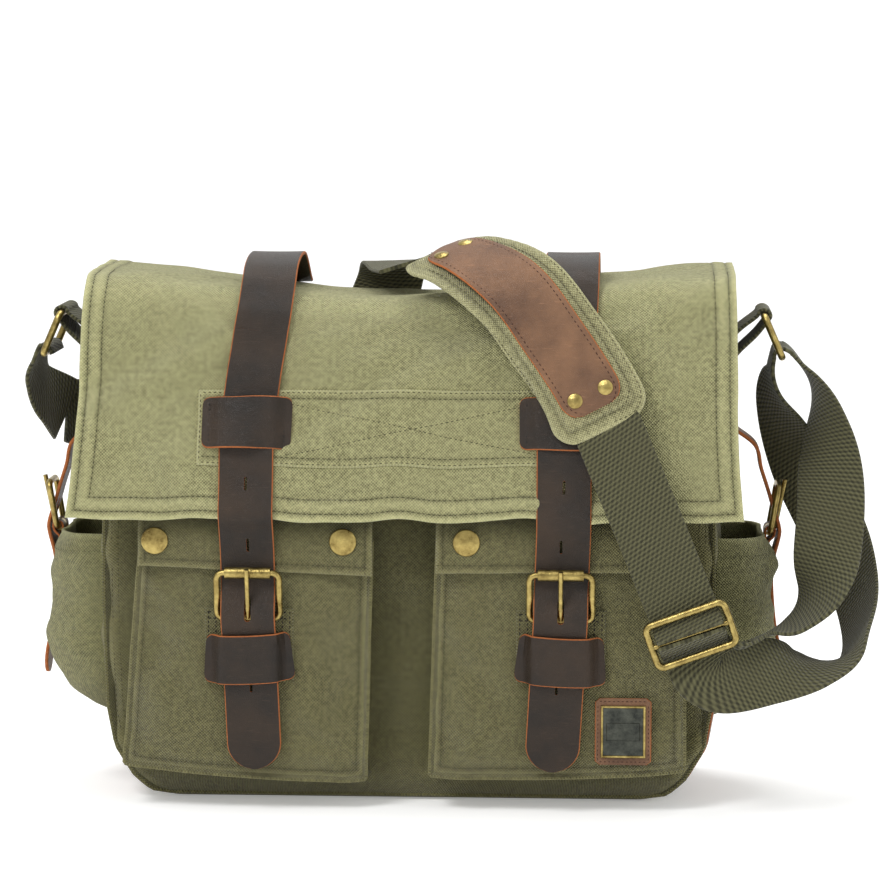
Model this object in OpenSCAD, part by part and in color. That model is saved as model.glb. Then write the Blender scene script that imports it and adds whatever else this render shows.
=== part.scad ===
// Canvas messenger bag: a boxed body under a two-leaf flap, two buckled
// leather straps, bellows pockets and an adjustable webbing shoulder strap.
// X runs to the wearer's left across the front, the front faces -Y, Z is up,
// and the origin is the middle of the base's underside.

/* [Bag body] */
// Width of the body between its side seams
body_w = 340; // [334:2:344]
// Depth of the body between the outsides of its front and back panels
body_d = 100; // [96:1:104]
// Height of the body under its flap
body_h = 286; // [282:1:287]
// Thickness of a doubled canvas panel
panel_t = 3; // [2:0.5:3.5]
// Thickness of the lining
lining_t = 1.2; // [0.8:0.2:1.6]

/* [Flap] */
// Width of the flap
flap_w = 366; // [356:2:370]
// Thickness of the flap
flap_t = 3; // [2:0.5:3.5]
// Height of the hem above the base
hem_z = 165; // [160:1:168]
// How far the hem stands in front of the fold
hem_reach = 29; // [27:1:31]

/* [Front pockets] */
// Width of one pocket
pocket_w = 136; // [128:2:138]
// Distance from the middle of the bag to the middle of a pocket
pocket_x = 86; // [84:1:88]
// Height of a pocket's mouth above its floor
pocket_h = 130; // [126:1:132]
// Depth of a pocket at its floor
pocket_d = 30; // [28:1:31]
// Thickness of a pocket's wall
pocket_t = 2; // [1.5:0.5:2.5]

/* [Leather] */
// Width of a closing strap
strap_w = 30; // [28:1:30]
// Thickness of the strap leather
strap_t = 2; // [1.6:0.2:2.2]
// Width of a side strap
side_strap_w = 20; // [16:1:20]

/* [Metal] */
// Wire radius of the buckles
wire_r = 1.75; // [1.5:0.05:1.75]
// Radius of a buckle's roller
roller_r = 3.2; // [3:0.1:3.3]
// Wire radius of the rings and the slider
ring_r = 2; // [1.8:0.1:2.2]
// Radius of a snap cap
cap_r = 7.5; // [6.5:0.5:8]

/* [Shoulder strap] */
// Width of the webbing
webbing_w = 38; // [34:1:38]
// Thickness of the webbing
webbing_t = 2.2; // [1.8:0.2:2.4]
// Width of the shoulder pad
pad_w = 58; // [50:2:60]
// Thickness of the shoulder pad
pad_t = 8; // [6:1:8]

/* [Hidden] */
$fn = 48;

canvas = "#7d7d58";
canvas_dark = "#6a6b4b";
leather = "#4a2f24";
leather_edge = "#7a4a30";
brass = "#8a7444";
webbing_green = "#5f6450";
lining_tan = "#9a8f70";
board_grey = "#4d4d4d";

gap = 0.3;          // free space between pieces that move apart
front_y = -body_d / 2;
back_y = body_d / 2;
half_w = body_w / 2;
// Right half of the body's outline from the base seam up, as [x, z]
outline = [[half_w - 30, 0], [half_w - 14, 12], [half_w - 4, 30], [half_w, 52], [half_w, body_h]];
board_t = 2;
divider_h = 235;
divider_y = 16;

// The flap's two leaves meet at a fold on the outer front corner
fold = [front_y - 5, 291];
flap_tilt = atan(hem_reach / (fold.y - hem_z));
flap_len = (fold.y - hem_z) / cos(flap_tilt);
flap_gap = 0.5;     // from the fold's axis to either leaf
hinge_y = back_y + 2.6;

// A front pocket's face leans back a little; heights up it start at its floor
pocket_z = 20;
pocket_lean = 5;
cap_x = 52;          // snaps from the middle of a pocket
pocket_tilt = atan(pocket_lean / pocket_h);
face = [front_y - pocket_d, pocket_z];
face_out = pocket_d - pocket_lean;

// Buckles: the anchor bar stands off the pocket's face, the roller farther out
anchor_out = 5;
anchor_up = 88;
frame_h = 26;
frame_lean = 9.5;
buckle_corner = 4;
chape_t = 1.4;
patch_t = 1.5;
prong_r = 1.3;
prong_w = 5;
slot_w = 3.6;

side_face = half_w + 28;
side_anchor_z = 148;
side_mouth_z = 144;
side_floor_z = 56;
side_pocket_w = 76;

ring_top = [28, 271];       // top bar, out from the body and up
ring_lean = 23.5;
ring_h = 25;
ring_w = webbing_w + 2 * ring_r + 3;

slider_at = [157, -98.5, 104];
slider_turn = -20;
slider_h = 24;

// Webbing and pad routes: a point, then the direction across the band
left_route = [
    [-203.6, 0, 247.5, 0, 1, 0], [-205.6, 0, 252, 0, 1, 0], [-210.3, 0, 252, 0, 1, 0],
    [-213, 0, 247, 0, 1, 0], [-216, 4, 237, 0.1, 1, 0], [-214, 14, 223, 0.2, 1, 0.2],
    [-204, 34, 210, 0.5, 0.7, 0.5], [-178, 58, 201, 0.6, 0.2, 0.8], [-140, 63, 190, 0.25, 0, 1],
    [-95, 63, 190, -0.2, 0, 1], [-58, 62, 212, -0.6, 0, 0.8], [-34, 62, 248, -0.9, 0, 0.4],
    [-19, 61.5, 279, -1, 0.1, 0.1], [-14, 49, 295, -1, -0.1, 0], [-7, 14, 296.5, -0.9, -0.4, -0.1],
    [0, -17, 300, -0.75, -0.6, -0.2]];
pad_route = [
    [9, -29, 303, 0.7, 0.6, 0.22], [32, -47, 303, 0.7, 0.6, 0.38],
    [60, -67, 289, 0.78, 0.3, 0.55], [82, -77, 263, 0.85, 0.05, 0.52],
    [99, -82, 238, 0.9, 0.03, 0.43], [112, -86, 214, 0.93, 0, 0.37]];
right_route = [
    [113.3, -87, 210.5, 0.93, 0, 0.37], [122, -91, 190, 0.94, 0, 0.35],
    [134, -94, 162, 0.94, 0, 0.345], [147, -94.3, 130, 0.94, 0, 0.345],
    [152.9, -94.3, 115.3, 0.94, 0, 0.345], [156.5, -102.3, 105.4, 0.94, 0, 0.345]];
loop_route = [
    [157.5, -102.3, 102.6, 0.94, 0, 0.345], [160.6, -92.2, 93.2, 0.94, 0, 0.345],
    [166, -93.6, 83, 0.88, 0.1, 0.47], [177, -94.5, 79.5, 0.6, 0.3, 0.74],
    [203, -86, 83, 0.2, 0.6, 0.76], [224, -76, 83, 0, 0.95, 0.3],
    [243, -60, 86, -0.15, 0.95, -0.25], [252, -38, 100, -0.4, 0.67, -0.6],
    [250, -10, 122, -0.6, 0.6, -0.4], [238, 13, 150, -0.9, 0.3, -0.3],
    [222, 19, 182, -0.93, 0.3, -0.1], [208, 9, 213, -0.6, 0.8, 0], [202.6, 0, 235, -0.1, 1, 0],
    [203.6, 0, 247.5, 0, 1, 0], [205.6, 0, 252, 0, 1, 0], [210.3, 0, 252, 0, 1, 0],
    [216, 0, 247, 0, 1, 0], [226, -6, 232, -0.1, 1, 0], [232, -20, 208, -0.55, 0.8, 0],
    [235, -38, 176, -0.95, 0.3, 0], [233, -50, 145, -0.97, 0.2, -0.1],
    [229, -58, 120, -0.6, 0.8, 0], [215, -63, 104, -0.2, 0.98, 0],
    [194, -67, 97, -0.6, 0.7, -0.4], [175.5, -82, 90, -0.85, 0.2, -0.46],
    [161, -84.6, 93, -0.94, 0, -0.345], [157.5, -94.1, 102.6, -0.94, 0, -0.345]];

function unit(v) = v / norm(v);
function reverse(list) = [for (i = [len(list) - 1:-1:0]) list[i]];
function mirrored(list) = [for (p = list) [-p.x, p.y]];

// A smooth curve through every row of a route, with steps parts to each gap
function curve(rows, steps) = let (last = len(rows) - 1) [
    for (i = [0:last - 1]) let (
        a = rows[max(i - 1, 0)], b = rows[i], c = rows[i + 1], d = rows[min(i + 2, last)])
        for (k = [0:steps - 1]) let (t = k / steps)
            ((2 * b) + (c - a) * t + (2 * a - 5 * b + 4 * c - d) * t * t
             + (3 * b - a - 3 * c + d) * t * t * t) / 2,
    rows[last]];

function tangent(path, i) = unit(path[min(i + 1, len(path) - 1)] - path[max(i - 1, 0)]);

// Outline of a flat path whose two sides lie near and far from it
function strip(path, near, far) = let (
    sides = [for (i = [0:len(path) - 1]) let (t = tangent(path, i)) [-t.y, t.x]])
    concat([for (i = [0:len(path) - 1]) path[i] + sides[i] * near],
           reverse([for (i = [0:len(path) - 1]) path[i] + sides[i] * far]));

// A point [y, z] on a leaning face, in the bag's own plane
function leaned(origin, tilt, p) =
    origin + [p.x * cos(tilt) + p.y * sin(tilt), p.y * cos(tilt) - p.x * sin(tilt)];

// The outline moved in by t, thinner below where the corner is rounded
function inset(t) = [for (p = outline) let (rise = min(1, p.y / 52)) [p.x - t * rise, p.y + t * (1 - rise)]];

module across_x(width) {
    rotate([90, 0, 90]) linear_extrude(width, center = true) children();
}

module along_y(from, to) {
    translate([0, to, 0]) rotate([90, 0, 0]) linear_extrude(to - from) children();
}

module on_pocket(x) {
    translate([x, face.x, face.y]) rotate([-pocket_tilt, 0, 0]) children();
}

module on_flap() {
    translate([0, fold.x, fold.y]) rotate([-flap_tilt, 0, 0]) children();
}

module on_side(side) {
    translate([side * side_face, 0, 0]) rotate([0, 0, 90 * side]) children();
}

module box(from, to) {
    translate(from) cube(to - from);
}

// A flat band of rectangular section, swept along a route
module band(route, width, thick, steps) {
    rows = curve(route, steps);
    spine = [for (r = rows) [r[0], r[1], r[2]]];
    last = len(rows) - 1;
    corners = [for (i = [0:last]) let (
        t = tangent(spine, i), w = [rows[i][3], rows[i][4], rows[i][5]],
        s = unit(w - (w * t) * t), n = cross(t, s))
        for (c = [[1, 1], [1, -1], [-1, -1], [-1, 1]])
            spine[i] + s * c.x * width / 2 + n * c.y * thick / 2];
    walls = [for (i = [0:last - 1]) for (k = [0:3]) let (
        a = 4 * i + k, b = 4 * i + (k + 1) % 4) each [[a, a + 4, b], [b, a + 4, b + 4]]];
    ends = [[0, 1, 2], [0, 2, 3], [4 * last + 2, 4 * last + 1, 4 * last],
            [4 * last + 3, 4 * last + 2, 4 * last]];
    polyhedron(corners, concat(walls, ends), convexity = 6);
}

// A closed rectangle of round wire standing on its lower bar
module wire_frame(width, height, r, corner) {
    for (side = [-1, 1])
        translate([side * width / 2, 0, corner]) cylinder(r = r, h = height - 2 * corner);
    for (z = [0, height])
        translate([corner - width / 2, 0, z]) rotate([0, 90, 0])
            cylinder(r = r, h = width - 2 * corner);
    for (turn = [0, 1, 2, 3]) {
        x = (turn == 0 || turn == 3 ? 1 : -1) * (width / 2 - corner);
        z = turn < 2 ? height - corner : corner;
        translate([x, 0, z]) rotate([90, 0, 0]) rotate([0, 0, 90 * turn])
            rotate_extrude(angle = 90) translate([corner, 0]) circle(r = r);
    }
}

// ---- Body ----
module outline_plate(from, to) {
    along_y(from, to) polygon(concat(outline, reverse(mirrored(outline))));
}

module front_panel() {
    color(canvas) outline_plate(front_y, front_y + panel_t);
}

module back_panel() {
    color(canvas) outline_plate(back_y - panel_t, back_y);
}

module gusset(side) {
    color(canvas) mirror([side < 0 ? 1 : 0, 0, 0])
        along_y(front_y + panel_t, back_y - panel_t) polygon(concat(outline, reverse(inset(panel_t))));
}

module base_panel() {
    color(canvas_dark)
        box([-outline[0].x, front_y + panel_t, 0], [outline[0].x, back_y - panel_t, panel_t]);
}

module base_board() {
    color(board_grey)
        box([20 - half_w * 0.9, front_y + 2 * panel_t, panel_t],
            [half_w * 0.9 - 20, back_y - 2 * panel_t, panel_t + board_t]);
}

// The lining's outline, moved in by t and lifted clear of the base board
module lining_outline(t) {
    lift = panel_t + board_t + 0.2;
    right = [for (p = inset(panel_t + t)) [p.x - 2, max(p.y, lift + t)]];
    polygon(concat(right, reverse(mirrored(right))));
}

module lining() {
    color(lining_tan) difference() {
        along_y(front_y + panel_t, back_y - panel_t) lining_outline(0);
        along_y(front_y + panel_t + lining_t, back_y - panel_t - lining_t) union() {
            lining_outline(lining_t);
            translate([lining_t + panel_t + 2 - half_w, 60])
                square([2 * (half_w - lining_t - panel_t - 2), body_h]);
        }
    }
}

module inner_divider() {
    color(lining_tan) intersection() {
        along_y(divider_y, divider_y + board_t) lining_outline(lining_t);
        box([-half_w, divider_y, 0], [half_w, divider_y + board_t, divider_h]);
    }
}

module corner_patches() {
    color(leather) for (side = [0, 1]) mirror([side, 0, 0])
        along_y(front_y + panel_t, back_y - panel_t)
            polygon(strip([for (i = [1:3]) outline[i]], -1.4, 0));
}

// ---- Front pockets ----
module pocket(x) {
    mouth = leaned(face, pocket_tilt, [0, pocket_h]);
    inner_floor = pocket_z + pocket_t;
    color(canvas) difference() {
        translate([x, 0, 0]) across_x(pocket_w)
            polygon([[front_y, pocket_z - 2], [face.x, face.y], mouth, [front_y, mouth.y]]);
        translate([x, 0, 0]) across_x(pocket_w - 2 * pocket_t)
            polygon([[front_y + 1, inner_floor], [face.x + pocket_t, inner_floor],
                     [mouth.x + pocket_t, mouth.y + 1], [front_y + 1, mouth.y + 1]]);
    }
}

module pocket_flap(x) {
    color(canvas) translate([x, 0, 0]) across_x(pocket_w + 2)
        polygon(strip([[front_y - 2, 176], [face.x + 5.6, 161], [face.x + 3.2, 155],
                       [face.x + 2.1, 134.5]], -1, 1));
}

module at_caps() {
    for (x = [-cap_x, cap_x]) translate([x, 0, pocket_h + 0.5]) rotate([90, 0, 0]) children();
}

module snap_studs() {
    color(brass) for (x = [-pocket_x, pocket_x]) on_pocket(x) for (offset = [-cap_x, cap_x])
        translate([offset, 0, pocket_h - 8]) rotate([90, 0, 0]) cylinder(r = 5, h = 0.6);
}

module snap_caps(x) {
    color(brass) on_pocket(x) at_caps() translate([0, 0, 3.3]) {
        cylinder(r = cap_r, h = 1.2);
        translate([0, 0, 1.2]) cylinder(r1 = cap_r - 0.8, r2 = cap_r - 4, h = 1.2);
    }
}

module badge_patch() {
    color(leather) on_pocket(pocket_x) box([19, -1.4, 8], [50, 0, 45]);
}

module badge_plate() {
    color(brass) on_pocket(pocket_x) box([22.2, -2.4, 12], [46.8, -1.4, 41]);
}

// ---- Side pockets ----
module side_pocket(side) {
    color(canvas) on_side(side) difference() {
        box([-side_pocket_w / 2, 0, side_floor_z],
            [side_pocket_w / 2, side_face - half_w, side_mouth_z]);
        box([pocket_t - side_pocket_w / 2, pocket_t, side_floor_z + pocket_t],
            [side_pocket_w / 2 - pocket_t, side_face - half_w + 1, side_mouth_z + 1]);
    }
}

// ---- Buckles, shared by the front and the sides ----
module at_anchor(up) {
    translate([0, -anchor_out, up]) rotate([frame_lean, 0, 0]) children();
}

module buckle_frame(width) {
    color(brass) wire_frame(width + 2 * wire_r + 1, frame_h, wire_r, buckle_corner);
}

module buckle_roller(width) {
    color(brass) translate([-width / 2, 0, frame_h]) rotate([0, 90, 0]) difference() {
        cylinder(r = roller_r, h = width);
        translate([0, 0, -1]) cylinder(r = wire_r + gap, h = width + 2);
    }
}

module buckle_prong(front) {
    reach = frame_h + 3.5;
    lean = atan((front + prong_r + 0.4 - 2.6) / frame_h);
    color(brass) {
        rotate([0, 90, 0]) difference() {
            cylinder(r = wire_r + gap + 1.25, h = prong_w, center = true);
            cylinder(r = wire_r + gap, h = prong_w + 2, center = true);
        }
        translate([0, -2.6, 0]) rotate([lean, 0, 0]) difference() {
            translate([0, 0, 1]) cylinder(r = prong_r, h = reach - 1);
            translate([0, 2.6, 0]) rotate([0, 90, 0])
                cylinder(r = wire_r + gap, h = prong_w + 2, center = true);
        }
    }
}

// Leather folded round the anchor bar and sewn down below it
module chape(width, up, drop) {
    difference() {
        across_x(width) difference() {
            union() {
                translate([-anchor_out, up]) circle(r = wire_r + gap + chape_t);
                translate([-patch_t - chape_t, up - drop]) square([chape_t, drop]);
            }
            translate([-anchor_out, up]) circle(r = wire_r + gap);
        }
        box([-prong_w / 2 - 0.7, -anchor_out - 6, up - 4], [prong_w / 2 + 0.7, 1, up + 6]);
    }
}

// A leather bridge over a strap, sewn down at both ends
module keeper(width, height, base, inner, outer) {
    free = strap_w / 2 + 1;
    linear_extrude(height) polygon([
        [-width / 2, -base], [-free, -base], [-free, -inner], [free, -inner], [free, -base],
        [width / 2, -base], [width / 2, -base - 2.2], [free + 4, -outer], [-free - 4, -outer],
        [-width / 2, -base - 2.2]]);
}

module buckle_patches() {
    color(canvas_dark) for (x = [-pocket_x, pocket_x]) on_pocket(x)
        box([-24.5, -patch_t, 52], [24.5, 0, 93]);
}

module front_chape(x) {
    color(leather) on_pocket(x) chape(strap_w - 2, anchor_up, 26);
}

module front_keeper(x) {
    color(leather) on_pocket(x) translate([0, 0, 52]) keeper(48, 27, patch_t, 9.2, 11);
}

module side_chape(side) {
    color(leather) on_side(side) difference() {
        chape(side_strap_w - 2, side_anchor_z, 40);
        box([-side_strap_w, -patch_t, 0], [side_strap_w, 0, side_anchor_z - 5]);
    }
    color(leather) on_side(side)
        box([1 - side_strap_w / 2, -patch_t, side_anchor_z - 40],
            [side_strap_w / 2 - 1, 0, side_mouth_z]);
}

// ---- Straps ----
strap_top_path = curve([[back_y - 2, 293], [back_y - 14, 292.6], [back_y - 28, 299], [5, 304],
                        [-20, 304], [-42, 300], [-55, 293], [-60.5, 283],
                        leaned(fold, flap_tilt, [-2.6, -24])], 3);
strap_front_path = concat(
    [for (p = [[-2.6, -24.4], [-2.5, -50], [-2.5, -104], [-1.7, -118]]) leaned(fold, flap_tilt, p)],
    [leaned(fold, flap_tilt, [-1.7, -flap_len])],
    [for (p = [[-9.4, 138], [-6.2, 128], [-4.7, 119], [-4.7, 112], [-6, 104], [-9.2, 94.5],
               [-9.9, 91], [-9.9, 86], [-9, 82], [-7.2, 78], [-6.3, 72], [-6, 55], [-4.6, 35],
               [-3.6, 20], [-3.4, 4]]) leaned(face, pocket_tilt, p)]);

module strap_top(x) {
    color(leather) translate([x, 0, 0]) across_x(strap_w)
        polygon(strip(strap_top_path, -strap_t / 2, strap_t / 2));
}

module strap_front(x) {
    tip = 4;
    color(leather) difference() {
        intersection() {
            translate([x, 0, 0]) across_x(strap_w)
                polygon(strip(strap_front_path, -strap_t / 2, strap_t / 2));
            on_pocket(x) along_y(-60, 30) union() {
                translate([-strap_w / 2, tip + strap_w / 2]) square([strap_w, 260]);
                translate([0, tip + strap_w / 2]) circle(d = strap_w);
            }
        }
        on_pocket(x) {
            box([-slot_w / 2, -20, 87], [slot_w / 2, -6.2, 101]);
            for (up = [51, 129]) box([-0.75, -20, up - 3.5], [0.75, 0, up + 3.5]);
        }
        on_flap() box([x - 0.75, -8, -115], [x + 0.75, -0.5, -108]);
    }
}

module side_strap(side) {
    tip = 62;
    path = curve([[side_face - half_w - 1.2, 218], [18, 208], [4, 197], [0.5, 184],
                  [-3.4, 172], [-6.4, 162], [-9.9, 151], [-9.9, 145], [-6.6, 132], [-5.5, 118],
                  [-8, 95], [-12, 76], [-13, tip]], 2);
    color(leather) on_side(side) difference() {
        intersection() {
            across_x(side_strap_w) polygon(strip(path, -strap_t / 2, strap_t / 2));
            along_y(-60, 60) union() {
                translate([-side_strap_w / 2, tip + side_strap_w / 2]) square([side_strap_w, 200]);
                translate([0, tip + side_strap_w / 2]) circle(d = side_strap_w);
            }
        }
        box([-slot_w / 2, -20, side_anchor_z], [slot_w / 2, -4.5, side_anchor_z + 17]);
    }
}

// ---- Flap ----
module flap_top() {
    color(canvas)
        box([1 - flap_w / 2, fold.x + flap_t + 1.2, fold.y - flap_gap - flap_t],
            [flap_w / 2 - 1, hinge_y - 1.6, fold.y - flap_gap]);
}

module flap_front() {
    color(canvas) on_flap()
        box([-flap_w / 2, gap, -flap_len], [flap_w / 2, gap + flap_t, -2 * flap_gap]);
}

module flap_band() {
    color(canvas) on_flap() box([-116, gap - 1.5, -101], [116, gap, -59]);
}

module flap_keeper(x) {
    color(leather) on_flap() translate([x, 0, -92])
        keeper(49, 29, 1.5 - gap, 4, 5.8);
}

// ---- Shoulder strap ----
module ring_tab(side) {
    loop_r = ring_r + gap;
    out = [side_face - half_w - ring_top.x, ring_top.y];
    color(webbing_green) on_side(side) across_x(webbing_w - 2) difference() {
        union() {
            translate(out) circle(r = loop_r + 2.2);
            polygon([[side_face - half_w, 222], [side_face - half_w, 250], out + [3.2, 3.2],
                     out + [-1.2, -4.2], [side_face - half_w - 4, 246],
                     [side_face - half_w - 3, 222]]);
        }
        translate(out) circle(r = loop_r);
    }
}

module ring(side) {
    color(brass) on_side(side) translate([0, side_face - half_w - ring_top.x, ring_top.y])
        rotate([180 - ring_lean, 0, 0]) wire_frame(ring_w, ring_h, ring_r, ring_r + 2);
}

module slider() {
    color(brass) translate(slider_at) rotate([0, slider_turn, 0]) translate([0, 0, -slider_h / 2]) {
        wire_frame(ring_w, slider_h, ring_r, ring_r + 2);
        translate([-ring_w / 2, 0, slider_h / 2]) rotate([0, 90, 0])
            cylinder(r = ring_r - 0.5, h = ring_w);
    }
}

module webbing(route) {
    color(webbing_green) band(route, webbing_w, webbing_t, 2);
}

module shoulder_pad() {
    color(canvas) band(pad_route, pad_w, pad_t, 3);
}

// Rows of the pad's route moved off its face by t along its own normal
function lifted(route, t) = let (spine = [for (r = route) [r[0], r[1], r[2]]])
    [for (i = [0:len(route) - 1]) let (
        r = route[i], n = cross(tangent(spine, i), unit([r[3], r[4], r[5]])))
        [r[0] + n.x * t, r[1] + n.y * t, r[2] + n.z * t, r[3], r[4], r[5]]];

pad_curve = curve(pad_route, 3);
leather_curve = [for (i = [2:len(pad_curve) - 3]) lifted(pad_curve, pad_t / 2 + 1.1)[i]];

module pad_leather() {
    color(leather) band(leather_curve, pad_w - 24, 1.6, 1);
}

module pad_rivets() {
    color(brass) for (i = [1, len(leather_curve) - 2]) for (offset = [-10, 10]) {
        r = leather_curve[i];
        t = tangent([for (p = leather_curve) [p[0], p[1], p[2]]], i);
        w = unit([r[3], r[4], r[5]]);
        n = cross(t, unit(w - (w * t) * t));
        at = [r[0], r[1], r[2]] + w * offset + n * 1.2;
        translate(at) rotate([acos(n.z), 0, atan2(n.x, -n.y)]) cylinder(r = 4, h = 1.4);
    }
}

front_panel();
back_panel();
gusset(-1);  // gusset_left
gusset(1);  // gusset_right
base_panel();
base_board();
lining();
inner_divider();
pocket(-pocket_x);  // pocket_left
pocket(pocket_x);  // pocket_right
side_pocket(-1);  // side_pocket_left
side_pocket(1);  // side_pocket_right
corner_patches();
snap_studs();
buckle_patches();
front_chape(-pocket_x);  // chape_left
front_chape(pocket_x);  // chape_right
front_keeper(-pocket_x);  // keeper_left
front_keeper(pocket_x);  // keeper_right
badge_patch();
badge_plate();
ring_tab(-1);  // ring_tab_left
ring_tab(1);  // ring_tab_right
side_strap(-1);  // side_strap_left
side_strap(1);  // side_strap_right
side_chape(-1);  // side_chape_left
side_chape(1);  // side_chape_right
slider();
webbing(loop_route);  // webbing_loop
webbing(left_route);  // webbing_left
ring(-1);  // ring_left
ring(1);  // ring_right
flap_top();
strap_top(-pocket_x);  // strap_top_left
strap_top(pocket_x);  // strap_top_right
flap_front();
flap_band();
flap_keeper(-pocket_x);  // flap_keeper_left
flap_keeper(pocket_x);  // flap_keeper_right
strap_front(-pocket_x);  // strap_front_left
strap_front(pocket_x);  // strap_front_right
shoulder_pad();
pad_leather();
pad_rivets();
webbing(right_route);  // webbing_right
pocket_flap(-pocket_x);  // pocket_flap_left
pocket_flap(pocket_x);  // pocket_flap_right
snap_caps(-pocket_x);  // snap_caps_left
snap_caps(pocket_x);  // snap_caps_right
on_pocket(-pocket_x) at_anchor(anchor_up) buckle_frame(strap_w);  // buckle_frame_left
on_pocket(pocket_x) at_anchor(anchor_up) buckle_frame(strap_w);  // buckle_frame_right
on_pocket(-pocket_x) at_anchor(anchor_up) buckle_roller(strap_w - 5);  // buckle_roller_left
on_pocket(pocket_x) at_anchor(anchor_up) buckle_roller(strap_w - 5);  // buckle_roller_right
on_pocket(-pocket_x) at_anchor(anchor_up) buckle_prong(roller_r);  // buckle_prong_left
on_pocket(pocket_x) at_anchor(anchor_up) buckle_prong(roller_r);  // buckle_prong_right
on_side(-1) at_anchor(side_anchor_z) buckle_frame(side_strap_w);  // side_buckle_left
on_side(1) at_anchor(side_anchor_z) buckle_frame(side_strap_w);  // side_buckle_right
on_side(-1) at_anchor(side_anchor_z) buckle_prong(wire_r);  // side_prong_left
on_side(1) at_anchor(side_anchor_z) buckle_prong(wire_r);  // side_prong_right
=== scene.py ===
import math

import bmesh
import bpy
import numpy as np
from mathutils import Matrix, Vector


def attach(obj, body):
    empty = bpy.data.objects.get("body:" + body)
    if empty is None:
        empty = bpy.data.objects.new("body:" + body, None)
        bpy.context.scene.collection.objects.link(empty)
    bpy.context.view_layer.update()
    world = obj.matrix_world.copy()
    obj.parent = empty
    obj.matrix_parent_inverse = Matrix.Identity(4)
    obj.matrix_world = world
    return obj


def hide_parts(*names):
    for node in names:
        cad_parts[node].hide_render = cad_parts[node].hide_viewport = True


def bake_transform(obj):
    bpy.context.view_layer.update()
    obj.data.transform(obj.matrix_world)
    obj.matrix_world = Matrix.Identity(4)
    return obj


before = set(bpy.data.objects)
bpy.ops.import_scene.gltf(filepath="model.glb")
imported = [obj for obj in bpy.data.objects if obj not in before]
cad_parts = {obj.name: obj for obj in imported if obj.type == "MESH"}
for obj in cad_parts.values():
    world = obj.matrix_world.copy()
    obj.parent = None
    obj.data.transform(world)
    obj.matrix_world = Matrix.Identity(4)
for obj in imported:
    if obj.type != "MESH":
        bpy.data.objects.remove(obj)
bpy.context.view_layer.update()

# ---- Camera and studio ----
# The bag stands on a pale floor that curves up into a pale backdrop. A wide soft light hangs
# over its left shoulder, and the white room fills the shadows.
MM = 0.001
scene = bpy.context.scene
look_at = Vector((0.0218, -0.080, 0.2054))
camera_turn = math.radians(3)
camera_rise = math.radians(7)
camera_reach = 1.9
camera = bpy.data.objects.new("camera", bpy.data.cameras.new("camera"))
camera.data.lens = 141
camera.data.sensor_width = 36
away = Vector((math.sin(camera_turn) * math.cos(camera_rise),
               -math.cos(camera_turn) * math.cos(camera_rise), math.sin(camera_rise)))
camera.location = look_at + away * camera_reach
camera.rotation_euler = (-away).to_track_quat("-Z", "Y").to_euler()
scene.collection.objects.link(camera)
scene.camera = camera
scene.view_settings.view_transform = "Standard"


def lamp(name, place, aim, size, power):
    light = bpy.data.objects.new(name, bpy.data.lights.new(name, "AREA"))
    light.data.shape = "DISK"
    light.data.size = size
    light.data.energy = power
    light.location = place
    light.rotation_euler = (Vector(aim) - Vector(place)).to_track_quat("-Z", "Y").to_euler()
    scene.collection.objects.link(light)


lamp("key_light", (-0.9, -1.3, 1.9), (0, 0, 0.12), 0.9, 26)
lamp("top_light", (0.15, 0.35, 1.8), (0, 0, 0.2), 1.0, 14)
lamp("right_light", (1.6, -1.0, 0.9), (0, 0, 0.12), 0.9, 5)
room = bpy.data.worlds.new("room")
room.use_nodes = True
room.node_tree.nodes["Background"].inputs["Color"].default_value = (1, 1, 1, 1)
room.node_tree.nodes["Background"].inputs["Strength"].default_value = 0.72
scene.world = room


class Link:
    """A shader socket that sums are written with; each sum adds its own node."""

    def __init__(self, finish, socket):
        self.finish, self.socket = finish, socket

    def maths(self, operation, *others):
        return self.finish.node("Math", {"operation": operation},
                                dict(enumerate([self, *others])))

    def __add__(self, other):
        return self.maths("ADD", other)

    def __sub__(self, other):
        return self.maths("SUBTRACT", other)

    def __rsub__(self, other):
        return self.finish.node("Math", {"operation": "SUBTRACT"}, {0: other, 1: self})

    def __mul__(self, other):
        return self.maths("MULTIPLY", other)

    def __pow__(self, other):
        return self.maths("POWER", other)

    def __neg__(self):
        return self * -1

    __radd__ = __add__
    __rmul__ = __mul__


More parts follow.
